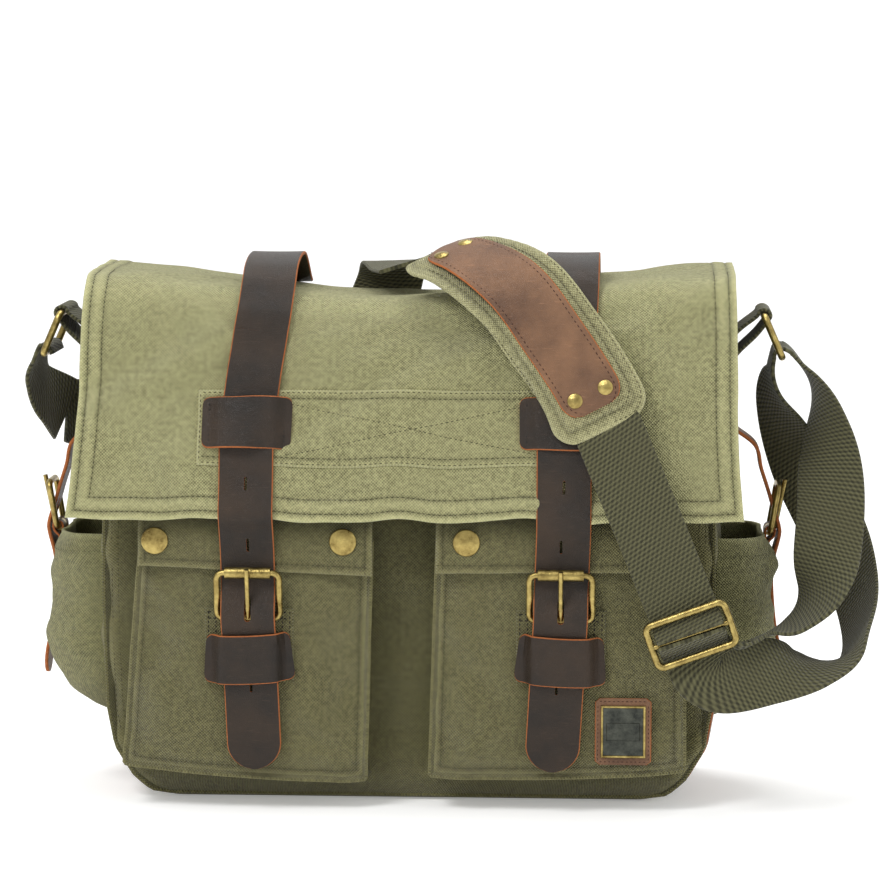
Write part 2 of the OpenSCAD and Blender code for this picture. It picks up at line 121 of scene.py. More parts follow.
class Finish:
    """A material under construction."""

    def __init__(self, name):
        self.material = bpy.data.materials.new(name)
        self.material.use_nodes = True
        self.tree = self.material.node_tree
        self.tree.nodes.clear()

    def node(self, kind, settings=(), values=(), out=0):
        made = self.tree.nodes.new("ShaderNode" + kind)
        for key, value in dict(settings).items():
            if key == "stops":
                for stop, (place, colour) in zip(made.color_ramp.elements, value):
                    stop.position, stop.color = place, (*colour, 1)
            else:
                setattr(made, key, value)
        for key, value in dict(values).items():
            if isinstance(value, Link):
                self.tree.links.new(value.socket, made.inputs[key])
            else:
                made.inputs[key].default_value = value
        return Link(self, made.outputs[out])

    def blend(self, share, first, second):
        """Colour between two colours, by share."""
        made = self.tree.nodes.new("ShaderNodeMix")
        made.data_type = "RGBA"
        for socket, value in zip((made.inputs[0], made.inputs[6], made.inputs[7]),
                                 (share, first, second)):
            if isinstance(value, Link):
                self.tree.links.new(value.socket, socket)
            else:
                socket.default_value = value if isinstance(value, (int, float)) else (*value, 1)
        return Link(self, made.outputs[2])

    def noise(self, where, scale, detail=3.0, rough=0.55):
        return self.node("TexNoise", {}, {"Vector": where, "Scale": scale, "Detail": detail,
                                          "Roughness": rough})

    def clear(self, value, low, high):
        """The value, spread from low..high to 0..1 and held there."""
        return self.node("MapRange", {}, {"Value": value, 1: low, 2: high, 3: 0.0, 4: 1.0})

    def done(self, colour, roughness, height=None, depth=0.001, **constants):
        values = {"Base Color": colour, "Roughness": roughness}
        values.update({key.replace("_", " "): value for key, value in constants.items()})
        if height is not None:
            values["Normal"] = self.node("Bump", {}, {"Height": height, "Distance": depth,
                                                      "Strength": 1.0})
        shader = self.node("BsdfPrincipled", {}, values)
        output = self.tree.nodes.new("ShaderNodeOutputMaterial")
        self.tree.links.new(shader.socket, output.inputs["Surface"])
        return self.material


def tone(red, green, blue):
    """A colour as seen, 0 to 255, turned into the linear values that the shaders take."""
    return tuple(c / 255 / 12.92 if c < 10.3 else ((c / 255 + 0.055) / 1.055) ** 2.4
                 for c in (red, green, blue))


paper = Finish("studio_paper")
spot = paper.node("TexCoord", out="Object")
studio_paper = paper.done(paper.blend(paper.noise(spot, 3.0), tone(244, 244, 244),
                                      tone(247, 247, 246)), 0.9,
                          Emission_Color=(1, 1, 1, 1), Emission_Strength=0.26)


def mesh_piece(name, points, faces, finishes, face_finish=None, uv=None, smooth=True):
    """A piece from points in millimetres; uv holds one pair in metres for each point."""
    mesh = bpy.data.meshes.new(name)
    mesh.from_pydata((np.asarray(points, float) * MM).tolist(), [], faces)
    for finish in finishes:
        mesh.materials.append(finish)
    if face_finish is not None:
        mesh.polygons.foreach_set("material_index", face_finish)
    if uv is not None:
        corners = np.zeros(len(mesh.loops), int)
        mesh.loops.foreach_get("vertex_index", corners)
        mesh.uv_layers.new(name="UVMap").data.foreach_set("uv", np.asarray(uv)[corners].ravel())
    mesh.polygons.foreach_set("use_smooth", [smooth] * len(mesh.polygons))
    mesh.validate()
    piece = bpy.data.objects.new(name, mesh)
    scene.collection.objects.link(piece)
    return piece


sweep_y = np.concatenate([np.linspace(-3500, 3300, 8),
                          3300 + 900 * np.sin(np.linspace(0.2, 1.5, 8)), [4200]])
sweep_z = np.concatenate([np.full(8, -0.6), 900 * (1 - np.cos(np.linspace(0.2, 1.5, 8))), [4000]])
floor_points = [(x, y, z) for y, z in zip(sweep_y, sweep_z) for x in (-4000, 4000)]
floor_faces = [(2 * i, 2 * i + 1, 2 * i + 3, 2 * i + 2) for i in range(len(sweep_y) - 1)]
floor = mesh_piece("floor", floor_points, floor_faces, [studio_paper])

# ---- Shoulder strap webbing ----
# Woven cotton webbing, 38 mm wide and 2.2 mm thick. It is sewn round the left ring, runs behind
# and over the bag into the pad, then down to the slider, round the right ring and back.
WEBBING_W = 38
WEBBING_T = 2.2


def weave(finish, where, pitch):
    """Height of a plain weave, 0 to 1, with over-and-under threads pitch metres apart."""
    parts = finish.node("SeparateXYZ", {}, {"Vector": where})
    across = Link(finish, parts.socket.node.outputs[0])
    along = Link(finish, parts.socket.node.outputs[1])
    turns = 2 * math.pi / pitch
    wobble = finish.noise(where, 90.0, 2.0) * 2.2
    warp = (across * turns + wobble).maths("SINE")
    weft = (along * turns + wobble).maths("SINE")
    return warp * weft * 0.5 + 0.5


def webbing_finish():
    finish = Finish("webbing_green")
    where = finish.node("TexCoord", out="UV")
    parts = finish.node("SeparateXYZ", {}, {"Vector": where})
    across = Link(finish, parts.socket.node.outputs[0])
    along = Link(finish, parts.socket.node.outputs[1])
    rib = (along * (2 * math.pi / 0.0023) + across * (2 * math.pi / 0.011)).maths("SINE")
    bead = (across * (2 * math.pi / 0.0027) + along * (math.pi / 0.0023)).maths("SINE")
    height = rib * 0.3 + bead * 0.2 + 0.5
    fuzz = finish.noise(where, 900.0, 3.0)
    patches = finish.noise(where, 35.0, 3.0)
    colour = finish.blend(finish.clear(height, 0.15, 0.85) * 0.8 + fuzz * 0.3 - 0.05, tone(30, 30, 18), tone(98, 96, 67))
    colour = finish.blend(finish.clear(patches, 0.35, 0.7) * 0.35, colour, tone(74, 71, 49))
    return finish.done(colour, 0.85, height + fuzz * 0.4, 0.0007, Specular_IOR_Level=0.25,
                       Sheen_Weight=0.15)


webbing_green = webbing_finish()


def curve(rows, steps):
    """A smooth curve through every row of a route, with steps parts to each gap."""
    rows = np.array(rows, float)
    rows = np.vstack([rows[:1], rows, rows[-1:]])
    made = []
    for a, b, c, d in zip(rows[:-3], rows[1:-2], rows[2:-1], rows[3:]):
        for t in np.arange(steps) / steps:
            made.append((2 * b + (c - a) * t + (2 * a - 5 * b + 4 * c - d) * t ** 2
                         + (3 * b - a - 3 * c + d) * t ** 3) / 2)
    return np.array(made + [rows[-1]])


def unit(v):
    return v / np.maximum(np.linalg.norm(v, axis=-1, keepdims=True), 1e-9)


def axes(spine, across):
    """Tangent, sideways and outward directions along a band."""
    t = unit(np.gradient(spine, axis=0))
    s = unit(across - (across * t).sum(1, keepdims=True) * t)
    return t, s, np.cross(t, s)


def strip(name, spine, across, half, thick, face, edge=None, columns=6, crown=0.0, chamfer=0.55):
    """A closed flat band along spine. half is its half width at each point of the spine."""
    t, s, n = axes(spine, across)
    half = np.broadcast_to(np.asarray(half, float), (len(spine),))
    c = min(chamfer, thick * 0.35)
    inner = np.linspace(1, -1, columns)
    a = np.concatenate([inner, [-1, -1], -inner, [1, 1]])
    shrink = np.concatenate([np.full(columns, c), [0, 0], np.full(columns, c), [0, 0]])
    h = np.concatenate([np.full(columns, thick / 2), [thick / 2 - c, c - thick / 2],
                        np.full(columns, -thick / 2), [c - thick / 2, thick / 2 - c]])
    lift = np.concatenate([1 - inner ** 2, [0, 0], 1 - inner ** 2, [0, 0]]) * crown
    sideways = a[None, :] * half[:, None] - np.sign(a)[None, :] * shrink[None, :] * (
        np.abs(a)[None, :] > 0.99)
    points = (spine[:, None] + s[:, None] * sideways[..., None]
              + n[:, None] * (h + lift)[None, :, None])
    rows, ring = points.shape[:2]
    length = np.concatenate([[0], np.cumsum(np.linalg.norm(np.diff(spine, axis=0), axis=1))])
    uv = np.stack([sideways, np.broadcast_to(length[:, None], sideways.shape)], -1) * MM
    faces, kinds = [], []
    side = set(range(columns - 1, columns + 2)) | set(range(2 * columns + 1, 2 * columns + 4))
    for i in range(rows - 1):
        for k in range(ring):
            b = (k + 1) % ring
            faces.append((i * ring + k, i * ring + b, (i + 1) * ring + b, (i + 1) * ring + k))
            kinds.append(1 if edge and k in side else 0)
    low, high = list(range(ring))[::-1], [(rows - 1) * ring + k for k in range(ring)]
    faces += [low, high]
    kinds += [1 if edge else 0] * 2
    piece = mesh_piece(name, points.reshape(-1, 3), faces, [face] + [edge] * bool(edge), kinds,
                       uv.reshape(-1, 2))
    bm = bmesh.new()
    bm.from_mesh(piece.data)
    bmesh.ops.recalc_face_normals(bm, faces=bm.faces)
    for e in bm.edges:
        e.smooth = len(e.link_faces) < 2 or e.calc_face_angle(0) < math.radians(38)
    bm.to_mesh(piece.data)
    bm.free()
    return piece


def webbing(name, rows, steps=10):
    line = curve(rows, steps)
    piece = strip(name, line[:, :3], line[:, 3:], WEBBING_W / 2, WEBBING_T, webbing_green,
                  columns=8, chamfer=0.7)
    return piece, line[:, :3] * MM


left_route = [
    [-203.6, 0, 247.5, 0, 1, 0], [-205.6, 0, 252, 0, 1, 0], [-210.3, 0, 252, 0, 1, 0],
    [-213, 0, 247, 0, 1, 0], [-216, 4, 237, 0.1, 1, 0], [-214, 14, 223, 0.2, 1, 0.2],
    [-204, 34, 210, 0.5, 0.7, 0.5], [-178, 58, 201, 0.6, 0.2, 0.8], [-140, 63, 190, 0.25, 0, 1],
    [-95, 63, 190, -0.2, 0, 1], [-58, 62, 212, -0.6, 0, 0.8], [-34, 62, 248, -0.9, 0, 0.4],
    [-19, 61.5, 279, -1, 0.1, 0.1], [-14, 49, 295, -1, -0.1, 0], [-7, 14, 296.5, -0.9, -0.4, -0.1],
    [0, -17, 300, -0.75, -0.6, -0.2]]
right_route = [
    [105, -84, 229, 0.92, 0.02, 0.4], [113.3, -87, 210.5, 0.93, 0, 0.37],
    [122, -91, 190, 0.94, 0, 0.35], [134, -94, 162, 0.94, 0, 0.345], [147, -94.3, 130, 0.94, 0, 0.345],
    [152.9, -94.3, 115.3, 0.94, 0, 0.345], [156.5, -102.3, 105.4, 0.94, 0, 0.345]]
loop_route = [
    [157.5, -102.3, 102.6, 0.94, 0, 0.345], [160.6, -92.2, 93.2, 0.94, 0, 0.345],
    [166, -93.6, 83, 0.88, 0.1, 0.47], [177, -94.5, 79.5, 0.6, 0.3, 0.74],
    [203, -86, 83, 0.2, 0.6, 0.76], [224, -76, 83, 0, 0.95, 0.3],
    [243, -60, 86, -0.15, 0.95, -0.25], [252, -38, 100, -0.4, 0.67, -0.6],
    [250, -10, 122, -0.6, 0.6, -0.4], [238, 13, 150, -0.9, 0.3, -0.3],
    [222, 19, 182, -0.93, 0.3, -0.1], [208, 9, 213, -0.6, 0.8, 0], [202.6, 0, 235, -0.1, 1, 0],
    [203.6, 0, 247.5, 0, 1, 0], [205.6, 0, 252, 0, 1, 0], [210.3, 0, 252, 0, 1, 0],
    [216, 0, 247, 0, 1, 0], [226, -6, 232, -0.1, 1, 0], [232, -20, 208, -0.55, 0.8, 0],
    [235, -38, 176, -0.95, 0.3, 0], [233, -50, 145, -0.97, 0.2, -0.1],
    [229, -58, 120, -0.6, 0.8, 0], [215, -63, 104, -0.2, 0.98, 0],
    [194, -67, 97, -0.6, 0.7, -0.4], [175.5, -82, 90, -0.85, 0.2, -0.46],
    [161, -84.6, 93, -0.94, 0, -0.345], [157.5, -94.1, 102.6, -0.94, 0, -0.345]]
ring_end, _ = webbing("strap_at_left_ring", left_route[:7])
over_top, over_line = webbing("strap_over_top", left_route[6:])
front_run, _ = webbing("strap_to_slider", right_route)
loop, loop_line = webbing("strap_loop", loop_route)
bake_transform(ring_end)
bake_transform(over_top)
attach(front_run, "flap_front")
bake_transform(loop)
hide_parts("webbing_left")
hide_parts("webbing_right")
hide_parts("webbing_loop")

# ---- Shoulder pad ----
# A canvas pad over 6 mm of foam, its edge bound and sewn twice round. A leather strip is sewn
# down its middle and held by two brass rivets at each end.
PAD_W = 58
PAD_T = 8


def canvas_finish(name, pale, dark, pitch=0.0017, wash=0.4):
    """Washed cotton canvas: a plain weave, faded in patches, paler where it is worn, and darkened with
    painted shade where its mark is below zero.
    """
    finish = Finish(name)
    where = finish.node("TexCoord", out="UV")
    height = weave(finish, where, pitch)
    slub = finish.noise(where, 420.0, 4.0, 0.7)
    patches = finish.noise(where, 14.0, 4.0, 0.6)
    specks = finish.noise(where, 95.0, 3.0, 0.65)
    # Each point's mark: above zero the canvas is worn paler; below zero it is darkened with painted
    # shade.
    wear_and_shade = finish.node("Attribute", {"attribute_name": "wear_and_shade"}, out=2)
    shade = (finish.clear(height, 0.1, 0.9) * 0.56 + finish.clear(slub, 0.4, 0.6) * 0.34
             + finish.clear(specks, 0.36, 0.64) * 0.10)
    colour = finish.blend(shade, dark, pale)
    colour = finish.blend(finish.clear(patches, 0.42, 0.68) * wash, colour,
                          tuple(0.55 * p + 0.45 * d for p, d in zip(pale, dark)))
    faded = tuple(min(1.0, p * 1.22 + 0.02) for p in pale)
    # The darkened colour of the painted shade, laid where the mark is below zero.
    painted_shade_colour = tuple(d * 0.55 for d in dark)
    colour = finish.blend(finish.clear(wear_and_shade, 0.0, 1.0) * (0.45 + slub * 0.5), colour, faded)
    colour = finish.blend(finish.clear(-wear_and_shade, 0.0, 1.0) * 0.75, colour, painted_shade_colour)
    return finish.done(colour, 0.92, height * 0.9 + slub * 0.7, 0.0013,
                       Specular_IOR_Level=0.2, Sheen_Weight=0.2, Sheen_Roughness=0.5)


def leather_finish(name, pale, dark, rough):
    """Oiled pull-up leather: dark, with paler patches where it bends and faint scratches."""
    finish = Finish(name)
    where = finish.node("TexCoord", out="Object")
    grain = finish.node("TexVoronoi", {"feature": "DISTANCE_TO_EDGE"},
                        {"Vector": where, "Scale": 1100.0})
    pores = finish.noise(where, 700.0, 4.0, 0.6)
    cloud = finish.noise(where, 28.0, 4.0, 0.6)
    marks = finish.noise(finish.node("Mapping", {}, {"Vector": where, "Scale": (9, 9, 90)}),
                         14.0, 3.0)
    colour = finish.blend(finish.clear(cloud, 0.34, 0.72), dark, pale)
    colour = finish.blend(finish.clear(marks, 0.60, 0.74) * 0.28, colour,
                          tuple(min(1, 1.7 * p + 0.01) for p in pale))
    shine = cloud * 0.22 + pores * 0.12 + (rough - 0.14)
    return finish.done(colour, shine, finish.clear(grain, 0.0, 0.25) * 0.5 + pores * 0.6,
                       0.00022, Specular_IOR_Level=0.33)


canvas = canvas_finish("canvas_olive", tone(143, 138, 91), tone(50, 47, 22))
canvas_faded = canvas_finish("canvas_olive_faded", tone(174, 171, 118), tone(62, 60, 30))
canvas_pad = canvas_finish("canvas_pad", tone(204, 200, 148), tone(84, 80, 46))
leather = leather_finish("leather_brown", tone(52, 38, 25), tone(26, 19, 12), 0.42)
leather_red = leather_finish("leather_red_brown", tone(132, 96, 68), tone(86, 60, 42), 0.46)
raw = Finish("leather_raw_edge")
raw_fibre = raw.noise(raw.node("TexCoord", out="Object"), 700.0, 4.0)
leather_edge = raw.done(raw.blend(raw_fibre, tone(112, 60, 30), tone(186, 112, 62)), 0.8,
                        raw_fibre, 0.0004, Specular_IOR_Level=0.25)


def brass_finish(name, pale, dark):
    """Antique brass: yellow where it is worn, brown in its hollows."""
    finish = Finish(name)
    where = finish.node("TexCoord", out="Object")
    tarnish = finish.noise(where, 160.0, 4.0, 0.65)
    nicks = finish.noise(where, 900.0, 3.0, 0.6)
    colour = finish.blend(finish.clear(tarnish, 0.3, 0.72), dark, pale)
    return finish.done(colour, tarnish * 0.25 + nicks * 0.15 + 0.12, nicks + tarnish, 0.0002,
                       Metallic=1.0)


brass = brass_finish("antique_brass", tone(192, 172, 106), tone(112, 94, 52))

pad_route = [
    [9, -29, 303, 0.7, 0.6, 0.22], [32, -47, 303, 0.7, 0.6, 0.38],
    [60, -67, 289, 0.78, 0.3, 0.55], [82, -77, 263, 0.85, 0.05, 0.52],
    [99, -82, 238, 0.9, 0.03, 0.43], [112, -86, 214, 0.93, 0, 0.37]]
pad_line = curve(pad_route, 16)
pad_t, pad_s, pad_n = axes(pad_line[:, :3], pad_line[:, 3:])
pad_run = np.concatenate([[0], np.cumsum(np.linalg.norm(np.diff(pad_line[:, :3], axis=0), axis=1))])
PAD_CORNER = 14


def pad_half(run, inset=0.0):
    """Half width of the pad, with rounded corners, inset all round."""
    near = np.clip(np.minimum(run, pad_run[-1] - run) - inset, 0, PAD_CORNER)
    return PAD_W / 2 - inset - (PAD_CORNER - np.sqrt(PAD_CORNER ** 2 - (PAD_CORNER - near) ** 2))


pad_pick = np.unique(np.concatenate([np.linspace(0.3, PAD_CORNER, 9),
                                     np.linspace(PAD_CORNER, pad_run[-1] - PAD_CORNER, 40),
                                     pad_run[-1] - np.linspace(0.3, PAD_CORNER, 9)]))


def along(rows, runs, picks):
    return np.stack([np.interp(picks, runs, rows[:, k]) for k in range(rows.shape[1])], 1)


pad_rows = along(pad_line, pad_run, pad_pick)
foam = strip("pad_foam", pad_rows[:, :3], pad_rows[:, 3:], pad_half(pad_pick) - 1.0, 5.0,
             canvas_pad, columns=22, chamfer=1.2)


def cloth_swell(piece, pressure, cap, frames=20):
    """Lets air pressure round a pad out, no point further than cap metres."""
    even = piece.data
    start = np.array([v.co for v in even.vertices])
    cloth = piece.modifiers.new("air", "CLOTH")
    cloth.settings.use_pressure = True
    cloth.settings.uniform_pressure_force = pressure
    cloth.settings.effector_weights.gravity = 0
    cloth.settings.quality = 5
    cloth.point_cache.frame_start, cloth.point_cache.frame_end = 1, frames
    for frame_number in range(1, frames + 1):
        scene.frame_set(frame_number)
    swollen = piece.evaluated_get(bpy.context.evaluated_depsgraph_get())
    end = np.array([v.co for v in swollen.data.vertices])
    piece.modifiers.clear()
    scene.frame_set(1)
    step = end - start
    far = np.maximum(np.linalg.norm(step, axis=1, keepdims=True), 1e-9)
    settled = start + step * np.minimum(1, cap / far)
    even.vertices.foreach_set("co", settled.ravel())
    even.update()


cloth_swell(foam, 4.0, 0.0022)
subdivide = foam.modifiers.new("fine", "SUBSURF")
subdivide.levels = subdivide.render_levels = 1
bpy.context.view_layer.update()
fine = bpy.data.meshes.new_from_object(foam.evaluated_get(bpy.context.evaluated_depsgraph_get()))
foam.modifiers.clear()
foam.data = fine
# The binding and its two rows of stitches press the swollen edge flat again.
here = np.array([v.co for v in fine.vertices]) / MM
nearest = np.array([np.argmin(((pad_line[:, :3] - p) ** 2).sum(1)) for p in here])
offset = here - pad_line[nearest, :3]
run_at = pad_run[nearest] + (offset * pad_t[nearest]).sum(1)
side_at = (offset * pad_s[nearest]).sum(1)
height_at = (offset * pad_n[nearest]).sum(1)
rim = np.minimum(pad_half(np.clip(run_at, 0, pad_run[-1])) - np.abs(side_at),
                 np.minimum(run_at, pad_run[-1] - run_at))
press = 0.52 * np.clip(1 - rim / 9, 0, 1) ** 0.6 + 0.22 * np.exp(-((rim - 8) / 1.2) ** 2)
moved = here - pad_n[nearest] * (height_at * press)[:, None]
fine.vertices.foreach_set("co", (moved * MM).ravel())
# The bound edge is worn paler; the groove along the inner stitch row is darkened with painted shade.
mark = fine.attributes.new("wear_and_shade", "FLOAT", "POINT")
mark.data.foreach_set("value", (0.75 * np.exp(-(rim / 3.0) ** 2)
                                - 0.5 * np.exp(-((rim - 8) / 1.0) ** 2)).astype(np.float32))
fine_uv = fine.uv_layers.new(name="UVMap")
loop_points = np.zeros(len(fine.loops), int)
fine.loops.foreach_get("vertex_index", loop_points)
fine_uv.data.foreach_set("uv", (np.stack([side_at, run_at], 1) * MM)[loop_points].ravel())
fine.polygons.foreach_set("use_smooth", [True] * len(fine.polygons))
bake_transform(foam)
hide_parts("shoulder_pad")

seams = {}


def sew(group, points, outward, pitch, stitch, thick, gap=0.0):
    """Marks a row of stitches along points, in millimetres, for the stitching made at the end."""
    run = np.concatenate([[0], np.cumsum(np.linalg.norm(np.diff(points, axis=0), axis=1))])
    picks = np.arange(pitch / 2, run[-1] - pitch / 3, pitch)
    at = along(points, run, picks)
    up = unit(along(np.broadcast_to(outward, points.shape), run, picks))
    way = unit(along(points, run, np.minimum(picks + 0.4, run[-1])) - at)
    rows = seams.setdefault(group, [])
    rows += [(*p, *w, *u, stitch, thick) for p, w, u in zip(at + up * gap, way, up)]


def pad_spot(run, side, lift):
    rows, n = along(pad_line, pad_run, run), along(pad_n, pad_run, run)
    return rows[:, :3] + unit(rows[:, 3:]) * np.asarray(side)[:, None] + n * lift, n


for inset, lift in ((3.4, 2.1), (8.0, 2.9)):
    run = np.linspace(inset + 0.1, pad_run[-1] - inset - 0.1, 90)
    half = pad_half(run, inset)
    for sign in (-1, 1):
        place, n = pad_spot(run, sign * half, lift)
        sew("pad_canvas", place, n, 2.9, 2.0, 0.62)
    for end in (0, -1):
        across = np.linspace(-half[end], half[end], 20)
        place, n = pad_spot(np.full(20, run[end]), across, lift)
        sew("pad_canvas", place, n, 2.9, 2.0, 0.62)

leather_run = np.unique(np.concatenate([np.linspace(13, 24, 8),
                                        np.linspace(24, pad_run[-1] - 24, 44),
                                        pad_run[-1] - np.linspace(13, 24, 8)]))
leather_at, leather_n = pad_spot(leather_run, np.zeros(len(leather_run)), 5.0)
tip = np.clip(np.minimum(leather_run - 13, pad_run[-1] - 13 - leather_run), 0, 11)
leather_half = 17.5 - (11 - np.sqrt(121 - (11 - tip) ** 2)) * 0.8
leather_across = along(pad_line, pad_run, leather_run)[:, 3:]
overlay = strip("pad_leather_strip", leather_at, leather_across, leather_half, 1.6,
                leather_red, leather_edge, columns=10, crown=0.8)
for sign in (-1, 1):
    inside = leather_at + unit(leather_across) * (sign * (leather_half - 3))[:, None]
    sew("pad_leather", inside + leather_n * 1.1, leather_n, 3.0, 2.1, 0.6)
for end in (0, -1):
    across = np.linspace(-leather_half[end] + 3, leather_half[end] - 3, 12)
    place = (leather_at[end] + leather_n[end] * 1.2 + unit(leather_across[end]) * across[:, None]
             + pad_t[0 if end == 0 else -1] * (3 if end == 0 else -3))
    sew("pad_leather", place, np.tile(leather_n[end], (12, 1)), 3.0, 2.1, 0.6)


def dome(rows, centre, outward, radius, height, segments=20):
    """Adds the points and faces of a pressed metal cap to rows, as (points, faces)."""
    out = unit(np.array(outward, float))
    side = unit(np.cross(out, [0.3, 0.2, 0.9]))
    other = np.cross(out, side)
    profile = [(0.86, -0.6), (1.0, -0.2), (1.0, 0.25), (0.93, 0.42), (0.84, 0.46), (0.76, 0.55),
               (0.5, 0.85), (0.22, 0.98)]
    base = len(rows[0])
    for r, h in profile:
        for k in range(segments):
            turn = 2 * math.pi * k / segments
            rows[0].append(centre + (side * math.cos(turn) + other * math.sin(turn)) * r * radius
                           + out * h * height)
    for j in range(len(profile) - 1):
        for k in range(segments):
            a, b = base + j * segments + k, base + j * segments + (k + 1) % segments
            rows[1].append((a, b, b + segments, a + segments))
    rows[1].append(tuple(base + k for k in range(segments))[::-1])
    rows[1].append(tuple(base + (len(profile) - 1) * segments + k for k in range(segments)))


rivets = ([], [])
for run, side in ((22, -9), (22, 9), (pad_run[-1] - 22, -9), (pad_run[-1] - 22, 9)):
    place, n = pad_spot(np.array([run]), np.array([side]), 6.2)
    dome(rivets, place[0], n[0], 4.2, 1.5)
rivet_heads = mesh_piece("pad_rivet_heads", rivets[0], rivets[1], [brass])
for piece, slot, node in ((overlay, "leather", "pad_leather"), (rivet_heads, "brass", "pad_rivets")):
    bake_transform(piece)
    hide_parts(node)

# ---- Rings, slider and buckles ----
# Cast brass wire parts, tumbled to an antique finish. They keep their frame shapes: rings on
# their tabs, the slider on the strap, and the roller and prong buckles.
metal_nodes = [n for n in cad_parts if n.startswith(("ring_left", "ring_right", "slider",
               "buckle_frame", "buckle_roller", "buckle_prong", "side_buckle", "side_prong",
               "snap_studs"))]
for name in metal_nodes:
    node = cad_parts[name]
    for place in node.material_slots:
        place.material = brass

# ---- Bag body ----
# Doubled canvas: front and back panels, side gussets and base in one soft shell that bulges a
# little, sags along its top edge and stands on rounded lower corners. Its seams are felled.
BODY_TOP = 286
shape_z = [0, 3, 8, 14, 30, 52, 110, 200, 286]
shape_x = [137, 143, 150, 156, 165.5, 169.5, 171, 170.5, 169]
shape_y = [42.5, 46.5, 48.6, 49.6, 50.6, 51, 52, 51, 48.5]
CORNER_R = 9


def drape(a, b, seed, longest=90.0, count=8):
    """Soft folds over a cloth, about -1 to 1, from waves of falling length."""
    draw = np.random.default_rng(seed)
    total, size = 0.0, 0.0
    for wave in range(count):
        turn, phase = draw.uniform(0, 2 * math.pi, 2)
        length = longest * 0.78 ** wave
        total = total + length * np.sin((a * math.cos(turn) + b * math.sin(turn))
                                        * 2 * math.pi / length + phase)
        size += length
    return total / size * 2.2


def crease(a, b, at, turn, long, wide):
    """A single fold, 1 on its crest, centred at a point and turned by an angle in degrees."""
    c, s = math.cos(math.radians(turn)), math.sin(math.radians(turn))
    u, v = (a - at[0]) * c + (b - at[1]) * s, (b - at[1]) * c - (a - at[0]) * s
    return np.exp(-(u / long) ** 2 - (v / wide) ** 2)


def top_sag(x, y):
    """How far the bag's top edge hangs between its corners; more at the back."""
    return np.clip(1 - (x / 158) ** 2, 0, 1) ** 2 * (7.5 + 4.5 * np.clip((y + 50) / 100, 0, 1))


def ring_of(half_x, half_y, radius):
    """One turn round the body from the front left corner, as x, y and outward direction."""
    bend = np.linspace(0, math.pi / 2, 7)[1:-1]
    fx, fy = np.linspace(-1, 1, 85) * (half_x - radius), np.linspace(-1, 1, 25) * (half_y - radius)
    rows = []
    for turn, (run, flat) in enumerate(((fx, half_y), (fy, half_x), (fx, half_y), (fy, half_x))):
        angle = turn * math.pi / 2
        side = [(p, -flat, 0, -1) for p in run]
        edge = run[-1]
        side += [(edge + radius * math.sin(t), -flat + radius * (1 - math.cos(t)),
                  math.sin(t), -math.cos(t)) for t in bend]
        c, s = round(math.cos(angle)), round(math.sin(angle))
        rows += [(x * c - y * s, x * s + y * c, u * c - v * s, u * s + v * c)
                 for x, y, u, v in side]
    rows.append(rows[0])
    return np.array(rows)


def body_swell(x, y, z, out_x, out_y):
    """How far the shell stands out of its plain shape at a point."""
    free = np.clip(z / 30, 0, 1) * np.clip((BODY_TOP - z) / 25, 0.25, 1)
    front = 1.2 * drape(x, z, 3, 70) + 1.4 * np.cos(x / 26.0) * np.clip(1 - np.abs(x) / 60, 0, 1)
    back = 3.0 * (1 - (x / 170) ** 2) + 1.6 * drape(x, z, 4, 110)
    side = (3.2 * drape(y, z, 5 + (1 if out_x.mean() > 0 else 0), 60)
            - 3.5 * crease(y, z, (0, 205), 90, 60, 14))
    return free * (front * np.clip(-out_y, 0, 1) + back * np.clip(out_y, 0, 1)
                   + side * np.abs(out_x))


def body_grid(inset, lift, low=0.0, top=BODY_TOP):
    """Points and uv of the shell, inset all round, from the middle of its base to its rim."""
    heights = np.concatenate([[0, 0.8, 3, 6, 10, 14], np.linspace(19, top, 62)])
    rows, uvs = [], []
    plan = ring_of(170, 50, CORNER_R)
    around = np.concatenate([[0], np.cumsum(np.hypot(*np.diff(plan[:, :2], axis=0).T))])
    for scale in (0, 0.25, 0.5, 0.75, 0.93):
        x0, y0 = np.interp(0, shape_z, shape_x) - inset, np.interp(0, shape_z, shape_y) - inset
        row = ring_of(x0, y0, CORNER_R)
        rows.append(np.stack([row[:, 0] * (scale or 0.1),
                              row[:, 1] * scale, np.full(len(row), lift)], 1))
        uvs.append(row[:, :2] * scale)
    for z in heights:
        row = ring_of(np.interp(z, shape_z, shape_x) - inset,
                      np.interp(z, shape_z, shape_y) - inset, CORNER_R)
        x, y, u, v = row.T
        out = body_swell(x, y, np.full(len(x), z), u, v)
        rows.append(np.stack([x + u * out, y + v * out,
                              np.maximum(z, lift) - top_sag(x, y) * (z / BODY_TOP) ** 6], 1))
        uvs.append(np.stack([around, np.full(len(x), z + 50)], 1))
    return np.array(rows), np.array(uvs) * MM


